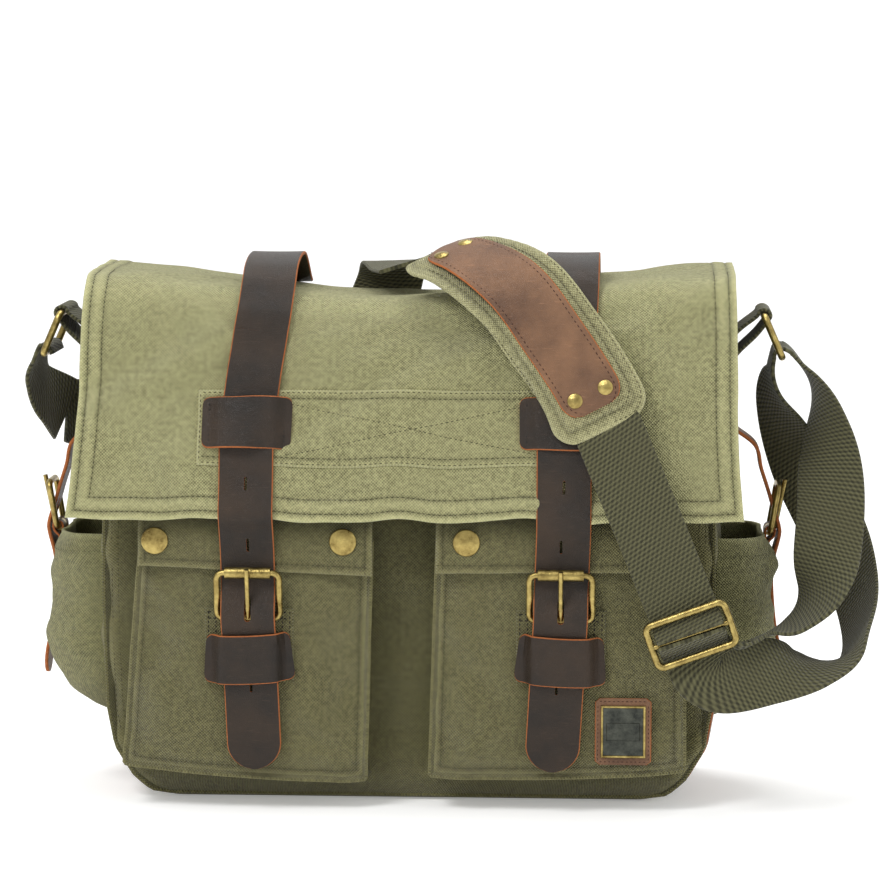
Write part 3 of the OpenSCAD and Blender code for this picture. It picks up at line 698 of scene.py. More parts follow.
def cloth(name, grid, uv, wear_and_shade, finish, thick, inner=None, rim=0):
    """A cloth piece from a grid of points, given thickness on its inner side."""
    rows, columns = grid.shape[:2]
    faces = [(i * columns + k, i * columns + k + 1, (i + 1) * columns + k + 1,
              (i + 1) * columns + k) for i in range(rows - 1) for k in range(columns - 1)]
    piece = mesh_piece(name, grid.reshape(-1, 3), faces, [finish] + [inner] * bool(inner),
                       uv=uv.reshape(-1, 2))
    mark = piece.data.attributes.new("wear_and_shade", "FLOAT", "POINT")
    mark.data.foreach_set("value", np.broadcast_to(wear_and_shade, (rows, columns))
                          .astype(np.float32).ravel())
    bm = bmesh.new()
    bm.from_mesh(piece.data)
    bmesh.ops.remove_doubles(bm, verts=bm.verts, dist=0.00002)
    bmesh.ops.dissolve_degenerate(bm, edges=bm.edges, dist=0.000005)
    bm.to_mesh(piece.data)
    bm.free()
    if thick:
        wall = piece.modifiers.new("wall", "SOLIDIFY")
        wall.thickness, wall.offset = thick * MM, -1
        wall.use_even_offset = False
        wall.material_offset = 1 if inner else 0
        wall.material_offset_rim = rim
        bpy.context.view_layer.update()
        solid = bpy.data.meshes.new_from_object(
            piece.evaluated_get(bpy.context.evaluated_depsgraph_get()))
        piece.modifiers.clear()
        piece.data = solid
    return piece


grid, uv = body_grid(0, 0)
plan = ring_of(170, 50, CORNER_R)
at_corner = np.minimum(np.abs(np.abs(plan[:, 0]) - 168), 30) + np.abs(np.abs(plan[:, 1]) - 48)
wear_and_shade = np.exp(-(at_corner / 7) ** 2)[None, :] * 0.6 + np.zeros(grid.shape[:2])
wear_and_shade += np.exp(-((BODY_TOP - grid[..., 2] - 6) / 6) ** 2) * 0.5
# Painted shade: the lowest part of the shell, where it stands on the floor, is darkened.
wear_and_shade -= 0.25 * np.exp(-(grid[..., 2] / 12) ** 2)
canvas_shade = canvas_finish("canvas_olive_shade", tone(138, 133, 85), tone(50, 48, 24))
shell = cloth("body_shell", grid, uv, wear_and_shade, canvas_shade, 2.6)
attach(shell, "bag")
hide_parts("front_panel", "back_panel", "gusset_left", "gusset_right", "base_panel")


def panel_y(x, z, y_sign):
    """Where the outer face of the front panel, -1, or the back panel, 1, stands."""
    row = np.zeros_like(x)
    return y_sign * (np.interp(z, shape_z, shape_y) + body_swell(x, row, z, row, row + y_sign))


def edge_path(y_sign):
    """The body's outline from the left rim down, along the base and up to the right rim."""
    z = np.concatenate([np.linspace(281, 20, 60), [14, 10, 7, 5]])
    x = np.interp(z, shape_z, shape_x)
    left = np.stack([-x + 1.8, (np.interp(z, shape_z, shape_y) - 1.8) * y_sign, z], 1)
    base_x = np.linspace(-134, 134, 50)
    base = np.stack([base_x, np.full(50, 44.5 * y_sign), np.full(50, 3.4)], 1)
    return np.vstack([left, base, (left * [-1, 1, 1])[::-1]])


for y_sign, name in ((-1, "front"), (1, "back")):
    path = edge_path(y_sign)
    out = np.stack([np.sign(path[:, 0]) * np.clip(path[:, 2] / 14, 0, 1), np.full(len(path), y_sign),
                    -np.clip(1 - path[:, 2] / 14, 0, 1)], 1)
    welt = strip("body_welt_" + name, path, out, 2.7, 2.4, canvas_shade, columns=3, chamfer=0.9)
    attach(welt, "bag")
    for inset in (3.4, 7.0):
        for sign in (1, -1):
            row = (path[:56] + [inset, 0, 0]) * [sign, 1, 1]
            row[:, 1] = panel_y(row[:, 0], row[:, 2], y_sign)
            sew("bag_canvas", row, np.tile([0.0, y_sign, 0.0], (len(row), 1)), 3.0, 2.0, 0.6)

# ---- Lining and divider ----
# Thin tan cotton hung inside the shell, with one canvas-backed wall that makes two rooms. A
# stiff grey board keeps the base flat.
lining = Finish("lining_tan")
where = lining.node("TexCoord", out="UV")
lining_weave = weave(lining, where, 0.0007)
lining_tan = lining.done(lining.blend(lining_weave * 0.5 + lining.noise(where, 60.0) * 0.5,
                                      tone(128, 116, 84), tone(176, 164, 128)), 0.9,
                         lining_weave, 0.0003, Specular_IOR_Level=0.2)
board = Finish("board_grey")
fibre = board.noise(board.node("TexCoord", out="Object"), 400.0, 5.0)
board_grey = board.done(board.blend(fibre, tone(58, 58, 58), tone(96, 94, 90)), 0.8, fibre, 0.0002)
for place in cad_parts["base_board"].material_slots:
    place.material = board_grey
grid, uv = body_grid(3.9, 5.6, top=281)
lining_shell = cloth("lining_shell", grid, uv, 0, lining_tan, 0.9)
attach(lining_shell, "bag")
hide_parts("lining")
wall_x, wall_z = np.meshgrid(np.linspace(-162, 162, 70), np.linspace(0, 1, 50))
wall_z = 6.5 + wall_z * (228 + 3 * np.cos(wall_x / 60))
wall_x = wall_x * np.interp(wall_z, shape_z, shape_x) / 171
wall = np.stack([wall_x, 16.2 + 1.6 * drape(wall_x, wall_z, 8), wall_z], -1)
divider = cloth("divider_wall", wall, np.stack([wall_x, wall_z], -1) * MM, 0, lining_tan, 1.8)
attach(divider, "bag")
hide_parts("inner_divider")

# ---- Corner leather and ring tabs ----
# Brown leather is sewn over the lower corners of both gussets. Folded webbing tabs, sewn to the
# gussets near the top, hold the rings.
tab_path = [[171.8, 222], [172.0, 236], [174.0, 250], [183, 262], [193.6, 270.5], [195.2, 273.4],
            [198, 274.5], [200.7, 273.2], [201.4, 270.5], [199.6, 267.8], [193.5, 260],
            [182.5, 249], [176.5, 238], [174.6, 222]]
for sign, name in ((-1, "left"), (1, "right")):
    z = np.linspace(9, 66, 24)
    x = np.interp(z, shape_z, shape_x) + 1.0
    spine = np.stack([x * sign, np.zeros(24), z], 1)
    across = np.tile([0.0, -sign, 0.0], (24, 1))
    patch = strip("corner_leather_" + name, spine, across, 43.5 - 0.0012 * (z - 30) ** 2, 1.5,
                  leather_red, leather_edge, columns=10, crown=2.4)
    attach(patch, "bag")
    if sign > 0:
        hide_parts("corner_patches")
    rows = curve(tab_path, 4)
    spine = np.stack([rows[:, 0] * sign, np.zeros(len(rows)), rows[:, 1]], 1)
    tab = strip("ring_tab_webbing_" + name, spine, np.tile([0.0, 1.0, 0.0], (len(rows), 1)), 18,
                2.0, webbing_green, columns=6, chamfer=0.6)
    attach(tab, "bag")
    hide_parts("ring_tab_" + name)

# ---- Front pockets ----
# Two bellows pockets of the same canvas, each with a felled seam round its face, a gusset that
# folds in at the sides, and a face that hangs a little slack at its lower corners.
LEAN = math.radians(2.2026)
# For each pocket: left and right edge at the top, at the base, and the two corner heights
pockets = {"left": (-86, (-146, -19.5), (-156, -23), (25, 17)),
           "right": (86, (18.5, 152.5), (14.5, 153.5), (20, 24))}


def on_pocket(x, out, up):
    return np.stack(np.broadcast_arrays(x, -80 - out * math.cos(LEAN) + up * math.sin(LEAN),
                                        20 + out * math.sin(LEAN) + up * math.cos(LEAN)), -1)


def pocket_face(side, u, v, lift=0.0):
    """A point of a pocket's face; u runs -1 to 1 across it and v 0 to 1 up it."""
    middle, top, low, ends = pockets[side]
    left, right = low[0] + (top[0] - low[0]) * v, low[1] + (top[1] - low[1]) * v
    x = (left + right) / 2 + u * (right - left) / 2
    z = (ends[0] + ends[1]) / 2 + u * (ends[1] - ends[0]) / 2 - 1.5 * (1 - u ** 2)
    z = z + (150 - z) * v
    off_strap = np.clip((np.abs(x - middle) - 26) / 25, 0, 1)
    back = 5.0 * np.abs(u) ** 5 + 3.5 * (1 - v) ** 8 + 1.0 * off_strap
    ripple = 2.0 * drape(x, z, 11 if side == "left" else 12, 75) * off_strap
    hollow = (2.6 * crease(x, z, (middle - 44, 40), 35, 26, 9)
              + 2.2 * crease(x, z, (middle + 40, 48), -38, 24, 8)
              - 2.4 * crease(x, z, (middle - 48, 92), 60, 30, 10)
              + 2.0 * crease(x, z, (middle, 30), 0, 60, 6))
    y = -80 + (z - 20) * math.tan(LEAN) + back - ripple - hollow * (0.3 + 0.7 * off_strap) - lift
    return np.stack([x, y, z], -1)


for side, (middle, top, low, ends) in pockets.items():
    u = np.sin(np.linspace(-1, 1, 66) * math.pi / 2 * 0.93) / math.sin(math.pi / 2 * 0.93)
    v = np.linspace(0, 1, 60)
    walls = np.linspace(0, 1, 15)
    grid, marks = [], []

    def row_at(v_now, share=1.0):
        face = pocket_face(side, u, np.full(len(u), v_now))
        face[:, 1] = -50 + (face[:, 1] + 50) * share
        fold = 5.5 * np.sin(np.minimum(walls, share) * math.pi) * (0.35 + 0.65 * v_now)
        reach = np.minimum(walls, share)[:, None]
        first, last = face[:1].copy(), face[-1:].copy()
        if share:
            first[:, 1], last[:, 1] = -50 + (first[:, 1] + 50) / share, -50 + (last[:, 1] + 50) / share
        left = np.concatenate([first * [1, 0, 1] + [0, -50, 0] + (first[:, 1:2] + 50) * reach
                               * [0, 1, 0] + np.stack([fold, fold * 0, fold * 0], 1)])
        right = np.concatenate([last * [1, 0, 1] + [0, -50, 0] + (last[:, 1:2] + 50) * reach
                                * [0, 1, 0] - np.stack([fold, fold * 0, fold * 0], 1)])[::-1]
        return np.vstack([left[:-1], face, right[1:]])

    for share in np.linspace(0, 1, 9)[:-1]:
        row = row_at(0.0, share)
        row[:, 2] -= 2.0 * math.sin(share * math.pi)
        grid.append(row)
        marks.append(np.full(len(row), 0.0))
    for v_now in v:
        row = row_at(v_now)
        grid.append(row)
        from_left, from_right = row[:, 0] - row[14, 0], row[-15, 0] - row[:, 0]
        seam = np.minimum(np.minimum(np.abs(from_left), np.abs(from_right)),
                          v_now * 130)
        inner = np.abs(seam - 4.6)
        # The edge by each side seam is worn paler; the stitch groove and the gusset walls set back
        # from the face are darkened with painted shade.
        marks.append(0.85 * np.exp(-(seam / 2.6) ** 2) - 0.5 * np.exp(-(inner / 1.0) ** 2)
                     - 0.35 * (row[:, 1] > -70))
    grid = np.array(grid)
    around = np.concatenate([[0], np.cumsum(np.linalg.norm(np.diff(grid[30], axis=0), axis=1))])
    up = np.concatenate([np.linspace(-28, 0, 9)[:-1], v * 130])
    pouch = cloth("pocket_pouch_" + side, grid, np.stack(np.meshgrid(around, up), -1) * MM,
                  np.array(marks), canvas, 1.8)
    edge_v = np.concatenate([np.linspace(1, 0, 46), np.zeros(50), np.linspace(0, 1, 46)])
    edge_u = np.concatenate([np.full(46, -1.0), np.linspace(-1, 1, 50), np.full(46, 1.0)])
    rim = pocket_face(side, edge_u, edge_v)
    out = np.stack([edge_u * (np.abs(edge_u) > 0.97), np.full(len(rim), -0.8),
                    (edge_v < 0.03) * -0.8], 1)
    for _ in range(4):
        out[1:-1] = (out[:-2] + 2 * out[1:-1] + out[2:]) / 4
    ridge = strip("pocket_welt_" + side, rim, out, 2.3, 2.4, canvas, columns=3, chamfer=0.9)
    for piece in (pouch, ridge):
        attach(piece, "bag")
    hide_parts("pocket_" + side)
    for inset in (4.6,):
        wide, high = inset / 66, inset / 130
        u_in = np.clip(edge_u, -1 + wide, 1 - wide)
        v_in = np.clip(edge_v, high, 1)
        sew("bag_canvas", pocket_face(side, u_in, v_in, 0.15), np.tile([0.0, -1, 0], (len(rim), 1)),
            2.9, 2.0, 0.6)

# ---- Pocket flaps ----
# A canvas flap is sewn to the front panel over each pocket's mouth. Two brass snaps close it;
# their pressed caps show.
flap_path = curve([[-51.6, 178], [-61, 171], [-71.5, 163.5], [-76.4, 156], [-77.6, 146],
                   [-78.2, 134.2]], 8)
for side, (middle, top, low, ends) in pockets.items():
    x = np.linspace(top[0] - 1.5, top[1] + 1.5, 70)
    run = np.concatenate([[0], np.cumsum(np.hypot(*np.diff(flap_path, axis=0).T))])
    down = np.unique(np.concatenate([np.arange(0, run[-1], 1.6), run[-1] - np.array([0, 0.8])]))
    place = along(flap_path, run, down)
    gx, gd = np.meshgrid(x, down)
    gy = np.broadcast_to(place[:, :1], gx.shape).copy()
    gz = np.broadcast_to(place[:, 1:], gx.shape).copy()
    share = gd / run[-1]
    gy -= (0.8 * drape(gx, gd, 31, 60) + 0.5) * share
    tilt = (gx - middle) / 68 * (-2.6 if side == "left" else 0.8) * share
    gz += tilt
    to_edge = np.minimum(np.minimum(gx - x[0], x[-1] - gx), run[-1] - gd)
    # The edge is worn paler; the groove along the stitch row is darkened with painted shade.
    marks = 0.7 * np.exp(-(to_edge / 2) ** 2) - 0.5 * np.exp(-((to_edge - 4) / 0.9) ** 2)
    lid = cloth("pocket_lid_" + side, np.stack([gx, gy, gz], -1)[::-1],
                np.stack([gx, gd], -1)[::-1] * MM, marks[::-1], canvas, 1.8)
    caps = ([], [])
    for offset in (-52, 52):
        dome(caps, on_pocket(middle + offset, 3.4, 130.5), (0, -1, 0.03), 7.5, 1.9, 36)
    snaps = mesh_piece("snap_domes_" + side, caps[0], caps[1], [brass])
    rows = []
    for inset in (3.8,):
        low_row = np.argmin(np.abs(down - (run[-1] - inset)))
        rows.append(np.stack([gx, gy, gz], -1)[low_row])
        for column in (2, -3):
            rows.append(np.stack([gx, gy, gz], -1)[:, column])
    for row in rows:
        sew("lid_" + side, row + [0, -0.15, 0], np.tile([0.0, -1, 0], (len(row), 1)), 2.9, 2.0, 0.6)
    for piece, slot, node in ((lid, "canvas", "pocket_flap_"), (snaps, "brass", "snap_caps_")):
        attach(piece, "pocket_flap_" + side)
        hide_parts(node + side)

# ---- Flap ----
# One wide cover of doubled canvas, sewn down the back, folded over the top and hanging over the
# front. Its edge is turned and sewn twice; a canvas band with a sewn cross strengthens it.
flap_rows = curve([[54.8, 247], [55.4, 269], [54.4, 284], [50, 292.6], [42, 295.6], [20, 296.4],
                   [-20, 296.4], [-42, 295.6], [-52, 292], [-57.8, 284], [-61.2, 271.5],
                   [-66.2, 248], [-75.2, 209], [-83.8, 171], [-85.2, 164.4]], 10)
flap_run = np.concatenate([[0], np.cumsum(np.hypot(*np.diff(flap_rows, axis=0).T))])
front_half = flap_rows[:, 0] < 0
flap_run -= np.interp(-210, -flap_rows[front_half, 1], flap_run[front_half]) - 83.1
flap_way = unit(np.gradient(flap_rows, axis=0))
FLAP_END = flap_run[-1]


canvas_sunned = canvas_finish("canvas_olive_sunned", tone(206, 203, 148), tone(80, 78, 42))


def flap_edges(s):
    share = np.clip(s / FLAP_END, 0, 1)
    middle, half = 1.5 - 2.0 * share, 178.0 + 8.4 * share + 1.4 * np.cos(share * 4.5)
    return middle - half, middle + half


def flap_point(x, s, lift=0.0):
    """A point on the flap's outer face; s runs down from the front fold, and is less on top."""
    x, s = np.broadcast_arrays(np.asarray(x, float), np.asarray(s, float))
    y, z = np.interp(s, flap_run, flap_rows[:, 0]), np.interp(s, flap_run, flap_rows[:, 1])
    wy, wz = np.interp(s, flap_run, flap_way[:, 0]), np.interp(s, flap_run, flap_way[:, 1])
    share = np.clip(s / FLAP_END, 0, 1)
    front = np.clip(s / 25, 0, 1)
    belly = 2.4 * np.sin(math.pi * share) * (1 - (x / 190) ** 2)
    soft = 1.9 * drape(x, s, 42, 130) + 1.2 * drape(x, s, 44, 60, 5)
    loose = (2.2 * crease(x, s, (-128, 96), 62, 34, 12) - 2.2 * crease(x, s, (-140, 60), 78, 40, 13)
             + 1.8 * crease(x, s, (-42, 114), 48, 20, 7) - 1.6 * crease(x, s, (-30, 112), 52, 18, 6)
             + 2.0 * crease(x, s, (40, 36), -20, 50, 12) - 1.8 * crease(x, s, (20, 20), -8, 60, 12)
             + 2.0 * crease(x, s, (130, 70), -70, 40, 12) - 1.6 * crease(x, s, (150, 100), -80, 30, 9)
             + 1.5 * crease(x, s, (20, 113), 40, 16, 6))
    left, right = flap_edges(s)
    edge = np.minimum(np.minimum(x - left, right - x), FLAP_END - s)
    hem = 0.7 * np.clip((13 - edge) / 1.2, 0, 1) - 0.55 * np.exp(-((edge - 4.2) / 0.9) ** 2)
    hem -= 0.55 * np.exp(-((edge - 11.8) / 0.9) ** 2)
    out = (belly + loose) * front + soft * (0.35 + 0.65 * front) + hem + lift
    sag = (top_sag(x, y) + 4.5 * np.clip(1 - (x / 166) ** 2, 0, 1)) * np.clip(1 - s / 70, 0, 1) * np.clip((z - 235) / 50, 0, 1)
    ripple = 1.6 * drape(x, s * 0 + 5, 47, 100, 5) * share ** 3
    return np.stack([x, y + wz * out, z - wy * out - sag + ripple], -1)


def flap_cloth(name, first, last, rows):
    s = np.unique(np.concatenate([np.linspace(first, last, rows),
                                  np.clip(FLAP_END - np.array([0, 0.8, 1.6, 3, 4.2, 5.4, 8, 10.6,
                                                               11.8, 13]), first, last)]))
    near = np.array([0, 0.8, 1.8, 3, 4.2, 5.4, 7.5, 9.5, 10.8, 11.8, 12.8, 14.5])
    left, right = (np.array(v) for v in flap_edges(s))
    middle = np.linspace(0, 1, 118)[1:-1]
    x = np.concatenate([left[:, None] + near, (left + 14.5)[:, None]
                        + middle * (right - left - 29)[:, None], right[:, None] - near[::-1]], 1)
    gs = np.broadcast_to(s[:, None], x.shape)
    edge = np.minimum(np.minimum(x - left[:, None], right[:, None] - x), FLAP_END - gs)
    # The edges, the raised hem between its stitch rows and the top fold are worn paler; both stitch
    # grooves are darkened with painted shade.
    marks = (0.85 * np.exp(-(edge / 2.2) ** 2) + 0.3 * np.exp(-((edge - 8) / 2.5) ** 2)
             - 0.6 * np.exp(-((edge - 4.2) / 0.8) ** 2) - 0.6 * np.exp(-((edge - 11.8) / 0.8) ** 2)
             + 0.25 * np.exp(-(gs / 14) ** 2))
    grid = flap_point(x, gs)
    piece = cloth(name, grid[::-1], np.stack([x, gs], -1)[::-1] * MM, marks[::-1], canvas_sunned, 2.6)
    return piece


FLAP_SPLIT = float(np.interp(20, -flap_rows[10:80, 0], flap_run[10:80]))
flap_rear = flap_cloth("flap_rear", flap_run[0], FLAP_SPLIT, 46)
flap_face = flap_cloth("flap_face", FLAP_SPLIT, FLAP_END, 74)
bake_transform(flap_rear)
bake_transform(flap_face)
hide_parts("flap_top")
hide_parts("flap_front")
for inset in (4.2, 11.8):
    s = np.linspace(-30, FLAP_END - inset, 60)
    left, right = flap_edges(s)
    for x in (left + inset, right - inset):
        sew("flap", flap_point(x, s, 0.1), flap_point(x, s, 1.0) - flap_point(x, s), 2.9, 2.0, 0.62)
    left, right = flap_edges(FLAP_END)
    x = np.linspace(left + inset, right - inset, 120)
    place = flap_point(x, FLAP_END - inset, 0.1)
    sew("flap", place, flap_point(x, FLAP_END - inset, 1.0) - place, 2.9, 2.0, 0.62)

BAND_TOP, BAND_END, BAND_HALF = 59, 101, 115
gx, gs = np.meshgrid(np.linspace(-BAND_HALF, BAND_HALF, 110), np.linspace(BAND_TOP, BAND_END, 28))
to_edge = np.minimum(BAND_HALF - np.abs(gx), np.minimum(gs - BAND_TOP, BAND_END - gs))
puff = 1.5 - 0.9 * np.exp(-(to_edge / 1.6) ** 2) - 0.4 * np.exp(-((to_edge - 4.4) / 1.2) ** 2)
# The band's edge is worn paler; the groove along its inner stitch rows is darkened with painted shade.
marks = 0.7 * np.exp(-(to_edge / 1.8) ** 2) - 0.4 * np.exp(-((to_edge - 4.4) / 0.9) ** 2)
band = cloth("flap_band_canvas", flap_point(gx + 1, gs, puff)[::-1],
             np.stack([gx, gs + 500], -1)[::-1] * MM, marks[::-1], canvas_sunned, 1.2)
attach(band, "flap_front")
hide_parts("flap_band")
for s in (BAND_TOP + 1.6, BAND_TOP + 4.8, BAND_END - 4.8, BAND_END - 1.6):
    x = np.linspace(1 - BAND_HALF + 2, 1 + BAND_HALF - 2, 90)
    place = flap_point(x, s, 1.5)
    sew("flap_sewn", place, flap_point(x, s, 2.5) - place, 2.9, 2.0, 0.62)
for first, last in ((66, 95), (95, 66)):
    x = np.linspace(-66, 74, 70)
    s = first + (last - first) * (x + 66) / 140
    place = flap_point(x, s, 1.5)
    sew("flap_sewn", place, flap_point(x, s, 2.5) - place, 2.9, 2.0, 0.62)
for x in (2.4 - BAND_HALF, 0.4 + BAND_HALF):
    s = np.linspace(BAND_TOP + 2, BAND_END - 2, 20)
    place = flap_point(x, s, 1.5)
    sew("flap_sewn", place, flap_point(x, s, 2.5) - place, 2.9, 2.0, 0.62)

# ---- Closing straps ----
# Two strips of oiled brown leather, 30 mm wide, with raw orange edges. Each runs over the bag's
# top, under a keeper on the flap, through its buckle and under a second keeper.
STRAP_W, STRAP_T = 30, 2
lean_in = {"left": (-76, -86.8, -86, -82.5), "right": (91, 87.5, 86, 81)}


def punch(piece, places, across, width, length, deep=14):
    """Cuts slots through leather; places holds the middle and outward direction of each."""
    points, faces = [], []
    for middle, way, out in places:
        side = unit(np.cross(way, out))
        base, count = len(points), 10
        for level in (-deep / 2, deep / 2):
            for k in range(count):
                turn = 2 * math.pi * k / count
                stretch = (length - width) / 2 * np.sign(math.cos(turn) + 1e-9)
                points.append(middle + side * math.sin(turn) * width / 2
                              + way * (math.cos(turn) * width / 2 + stretch) + out * level)
        faces += [(base + k, base + (k + 1) % count, base + count + (k + 1) % count,
                   base + count + k) for k in range(count)]
        faces += [tuple(range(base, base + count))[::-1],
                  tuple(range(base + count, base + 2 * count))]
    cutter = mesh_piece("slot_cutter", points, faces, [across, leather_edge],
                        np.ones(len(faces), int), smooth=False)
    bm = bmesh.new()
    bm.from_mesh(cutter.data)
    bmesh.ops.recalc_face_normals(bm, faces=bm.faces)
    bm.to_mesh(cutter.data)
    bm.free()
    cut = piece.modifiers.new("slots", "BOOLEAN")
    cut.operation, cut.object, cut.solver = "DIFFERENCE", cutter, "EXACT"
    bpy.context.view_layer.update()
    made = bpy.data.meshes.new_from_object(
        piece.evaluated_get(bpy.context.evaluated_depsgraph_get()))
    piece.modifiers.clear()
    piece.data = made
    bpy.data.objects.remove(cutter)
    bm = bmesh.new()
    bm.from_mesh(made)
    for e in bm.edges:
        e.smooth = len(e.link_faces) < 2 or e.calc_face_angle(0) < math.radians(38)
    bm.to_mesh(made)
    bm.free()


for side, (x_top, x_flap, x_buckle, x_tip) in lean_in.items():
    over = curve([[47, 292.5], [36, 295.5], [22, 300.5], [5, 304], [-20, 304], [-42, 300],
                  [-54, 293.5]], 6)
    over = np.column_stack([np.full(len(over), x_top), over])
    over[:, 2] -= top_sag(over[:, 0], over[:, 1]) * np.clip((over[:, 1] - 5) / 40, 0, 1)
    s = np.concatenate([np.linspace(11, 112, 42), [118, 124, 129]])
    x = x_top + (x_flap - x_top) * np.clip(s / 80, 0, 1) ** 0.9
    lift = 2.4 + 1.6 * np.exp(-((s - 8) / 9) ** 2) + 0.6 * np.exp(-((s - 78) / 16) ** 2)
    down = flap_point(x, s, lift)
    below = curve([[9.6, 138], [6.2, 128], [4.9, 119], [4.9, 112], [6.0, 104], [9.2, 94.5],
                   [9.9, 91], [9.9, 86], [9, 82], [7.4, 78], [6.6, 72], [6.3, 55], [5.0, 35],
                   [4.2, 20], [3.6, 4]], 5)
    share = np.clip((90 - below[:, 1]) / 86, 0, 1)
    tail = on_pocket(x_buckle + (x_tip - x_buckle) * share, below[:, 0], below[:, 1])
    tail[:, 0] += (x_flap - x_buckle) * np.clip((below[:, 1] - 100) / 38, 0, 1)
    whole = np.vstack([over, down, tail])
    run = np.concatenate([[0], np.cumsum(np.linalg.norm(np.diff(whole, axis=0), axis=1))])
    join = run[len(over) + 5]
    smooth = np.linspace(0, run[-1] - 15, 190)
    smooth = np.unique(np.concatenate([smooth, [join], run[-1] - 15 * np.cos(
        np.linspace(0.08, math.pi / 2, 14)[::-1] - 0.0)]))
    smooth = smooth[smooth <= run[-1]]
    rows = along(whole, run, smooth)
    for _ in range(3):
        rows[1:-1] = (rows[:-2] + 2 * rows[1:-1] + rows[2:]) / 4
    to_tip = np.clip(run[-1] - smooth, 0.15, 15)
    half = np.sqrt(225 - (15 - to_tip) ** 2)
    half = np.where(run[-1] - smooth > 15, STRAP_W / 2, half)
    cross = np.tile([1.0, 0.0, 0.0], (len(rows), 1))
    k = int(np.argmin(np.abs(smooth - join)))
    upper = strip("strap_over_" + side, rows[:k + 1], cross[:k + 1], half[:k + 1], STRAP_T,
                  leather, leather_edge, columns=8, crown=-0.25)
    lower = strip("strap_down_" + side, rows[k:], cross[k:], half[k:], STRAP_T, leather,
                  leather_edge, columns=8, crown=-0.15)
    holes = []
    out_flap = unit(flap_point(x_flap, 111, 1.0) - flap_point(x_flap, 111))
    way_flap = unit(flap_point(x_flap, 113) - flap_point(x_flap, 109))
    holes.append((flap_point(x_flap, 111, 2.4), way_flap, out_flap))
    for up, out, at in ((129, 6.4, x_buckle), (51, 6.2, x_buckle + (x_tip - x_buckle) * 0.45)):
        holes.append((on_pocket(at, out, up), np.array([0, 0.03, 1.0]), np.array([0, -1.0, 0.03])))
    punch(lower, holes, leather, 1.6, 7.5, 6)
    punch(lower, [(on_pocket(x_buckle, 9, 93.5), np.array([0, 0.03, 1.0]),
                   np.array([0, -1.0, 0.03]))], leather, 3.8, 13.5, 8)
    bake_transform(upper)
    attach(lower, "flap_front")
    for piece, node in ((upper, "strap_top_"), (lower, "strap_front_")):
        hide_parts(node + side)

    # Keepers: a bridge over the strap, sewn down at both ends
    a = np.concatenate([-24.5 + np.array([0, 0.5, 1.2, 2.2, 3.6]), np.linspace(-20, 20, 31),
                        24.5 - np.array([3.6, 2.2, 1.2, 0.5, 0])])
    d = np.clip(24.5 - np.abs(a), 0, 4)
    corner = 4 - np.sqrt(16 - (4 - d) ** 2)
    bridge = np.interp(np.abs(a), [0, 12, 15.4, 17.6, 20.5, 24.5], [5.5, 5.3, 4.9, 3.6, 2.5, 2.4])
    spine = flap_point(x_flap + a, 77.5, bridge)
    cross = unit(flap_point(x_flap + a, 79, 0) - flap_point(x_flap + a, 76, 0))
    keeper = strip("flap_keeper_leather_" + side, spine, cross, 14.5 - corner, 1.9, leather,
                   leather_edge, columns=8, crown=-0.3)
    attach(keeper, "flap_front")
    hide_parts("flap_keeper_" + side)
    for at in (-20.6, 20.6):
        s = np.linspace(66, 89, 14)
        place = flap_point(x_flap + at, s, 3.5)
        sew("flap_leather", place, flap_point(x_flap + at, s, 4.5) - place, 2.9, 2.0, 0.8)
    bridge = np.interp(np.abs(a), [0, 13, 15.8, 17.4, 20.5, 24.5], [10.4, 10.2, 9.4, 6.2, 3.2, 2.7])
    up = 65.5 + 1.2 * (a / 24.5) ** 2 + (1.0 if side == "left" else -1.0) * a / 24.5
    spine = on_pocket(x_buckle + a * 0.985, bridge, up)
    cross = np.tile(on_pocket(0, 0, 1.0) - on_pocket(0, 0, 0.0), (len(a), 1))
    keeper = strip("pocket_keeper_leather_" + side, spine, -cross, 13.5 - corner, 1.9, leather,
                   leather_edge, columns=8, crown=-0.3)
    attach(keeper, "bag")
    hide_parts("keeper_" + side)
    for at in (-20.2, 20.2):
        up = np.linspace(55, 77, 14)
        sew("bag_leather", on_pocket(x_buckle + at, 4.2, up), np.tile([0.0, -1, 0], (14, 1)),
            2.9, 2.0, 0.8)

# ---- Buckle patches and chapes ----
# Each front buckle hangs in a folded leather chape on a square canvas patch, sewn down with
# heavy black thread.
for side, (x_top, x_flap, x_buckle, x_tip) in lean_in.items():
    up = np.linspace(52, 93, 22)
    patch = strip("buckle_patch_" + side, on_pocket(x_buckle, 0.9, up),
                  np.tile([1.0, 0.0, 0.0], (22, 1)), 24.5, 1.3, canvas, columns=12, chamfer=0.5)
    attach(patch, "bag")
    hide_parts(*(["buckle_patches"] if side == "left" else []))
    for at in (-22.6, -18.4, 18.4, 22.6):
        up = np.linspace(53, 92, 20)
        sew("bag_leather", on_pocket(x_buckle + at, 1.6, up), np.tile([0.0, -1, 0], (20, 1)),
            2.6, 2.1, 0.85)
    for high in (54, 57.5, 87.5, 91):
        at = np.linspace(-23, 23, 24)
        sew("bag_leather", on_pocket(x_buckle + at, 1.6, high), np.tile([0.0, -1, 0], (24, 1)),
            2.6, 2.1, 0.85)
    fold = curve([[2.4, 63], [2.4, 76], [2.3, 84], [2.25, 88], [3.0, 90.0], [5, 90.75], [7.0, 90.0],
                  [7.75, 88], [7.2, 85.6], [5.4, 82.6], [4.2, 78], [3.9, 66]], 4)
    chape = strip("buckle_chape_" + side, on_pocket(x_buckle, fold[:, 0], fold[:, 1]),
                  np.tile([1.0, 0.0, 0.0], (len(fold), 1)), 14, 1.3, leather, leather_edge)
    punch(chape, [(on_pocket(x_buckle, 5, 89), np.array([0, 0.03, 1.0]),
                   np.array([0, -1.0, 0.03]))], leather, 6.4, 14, 12)
    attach(chape, "bag")
    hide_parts("chape_" + side)

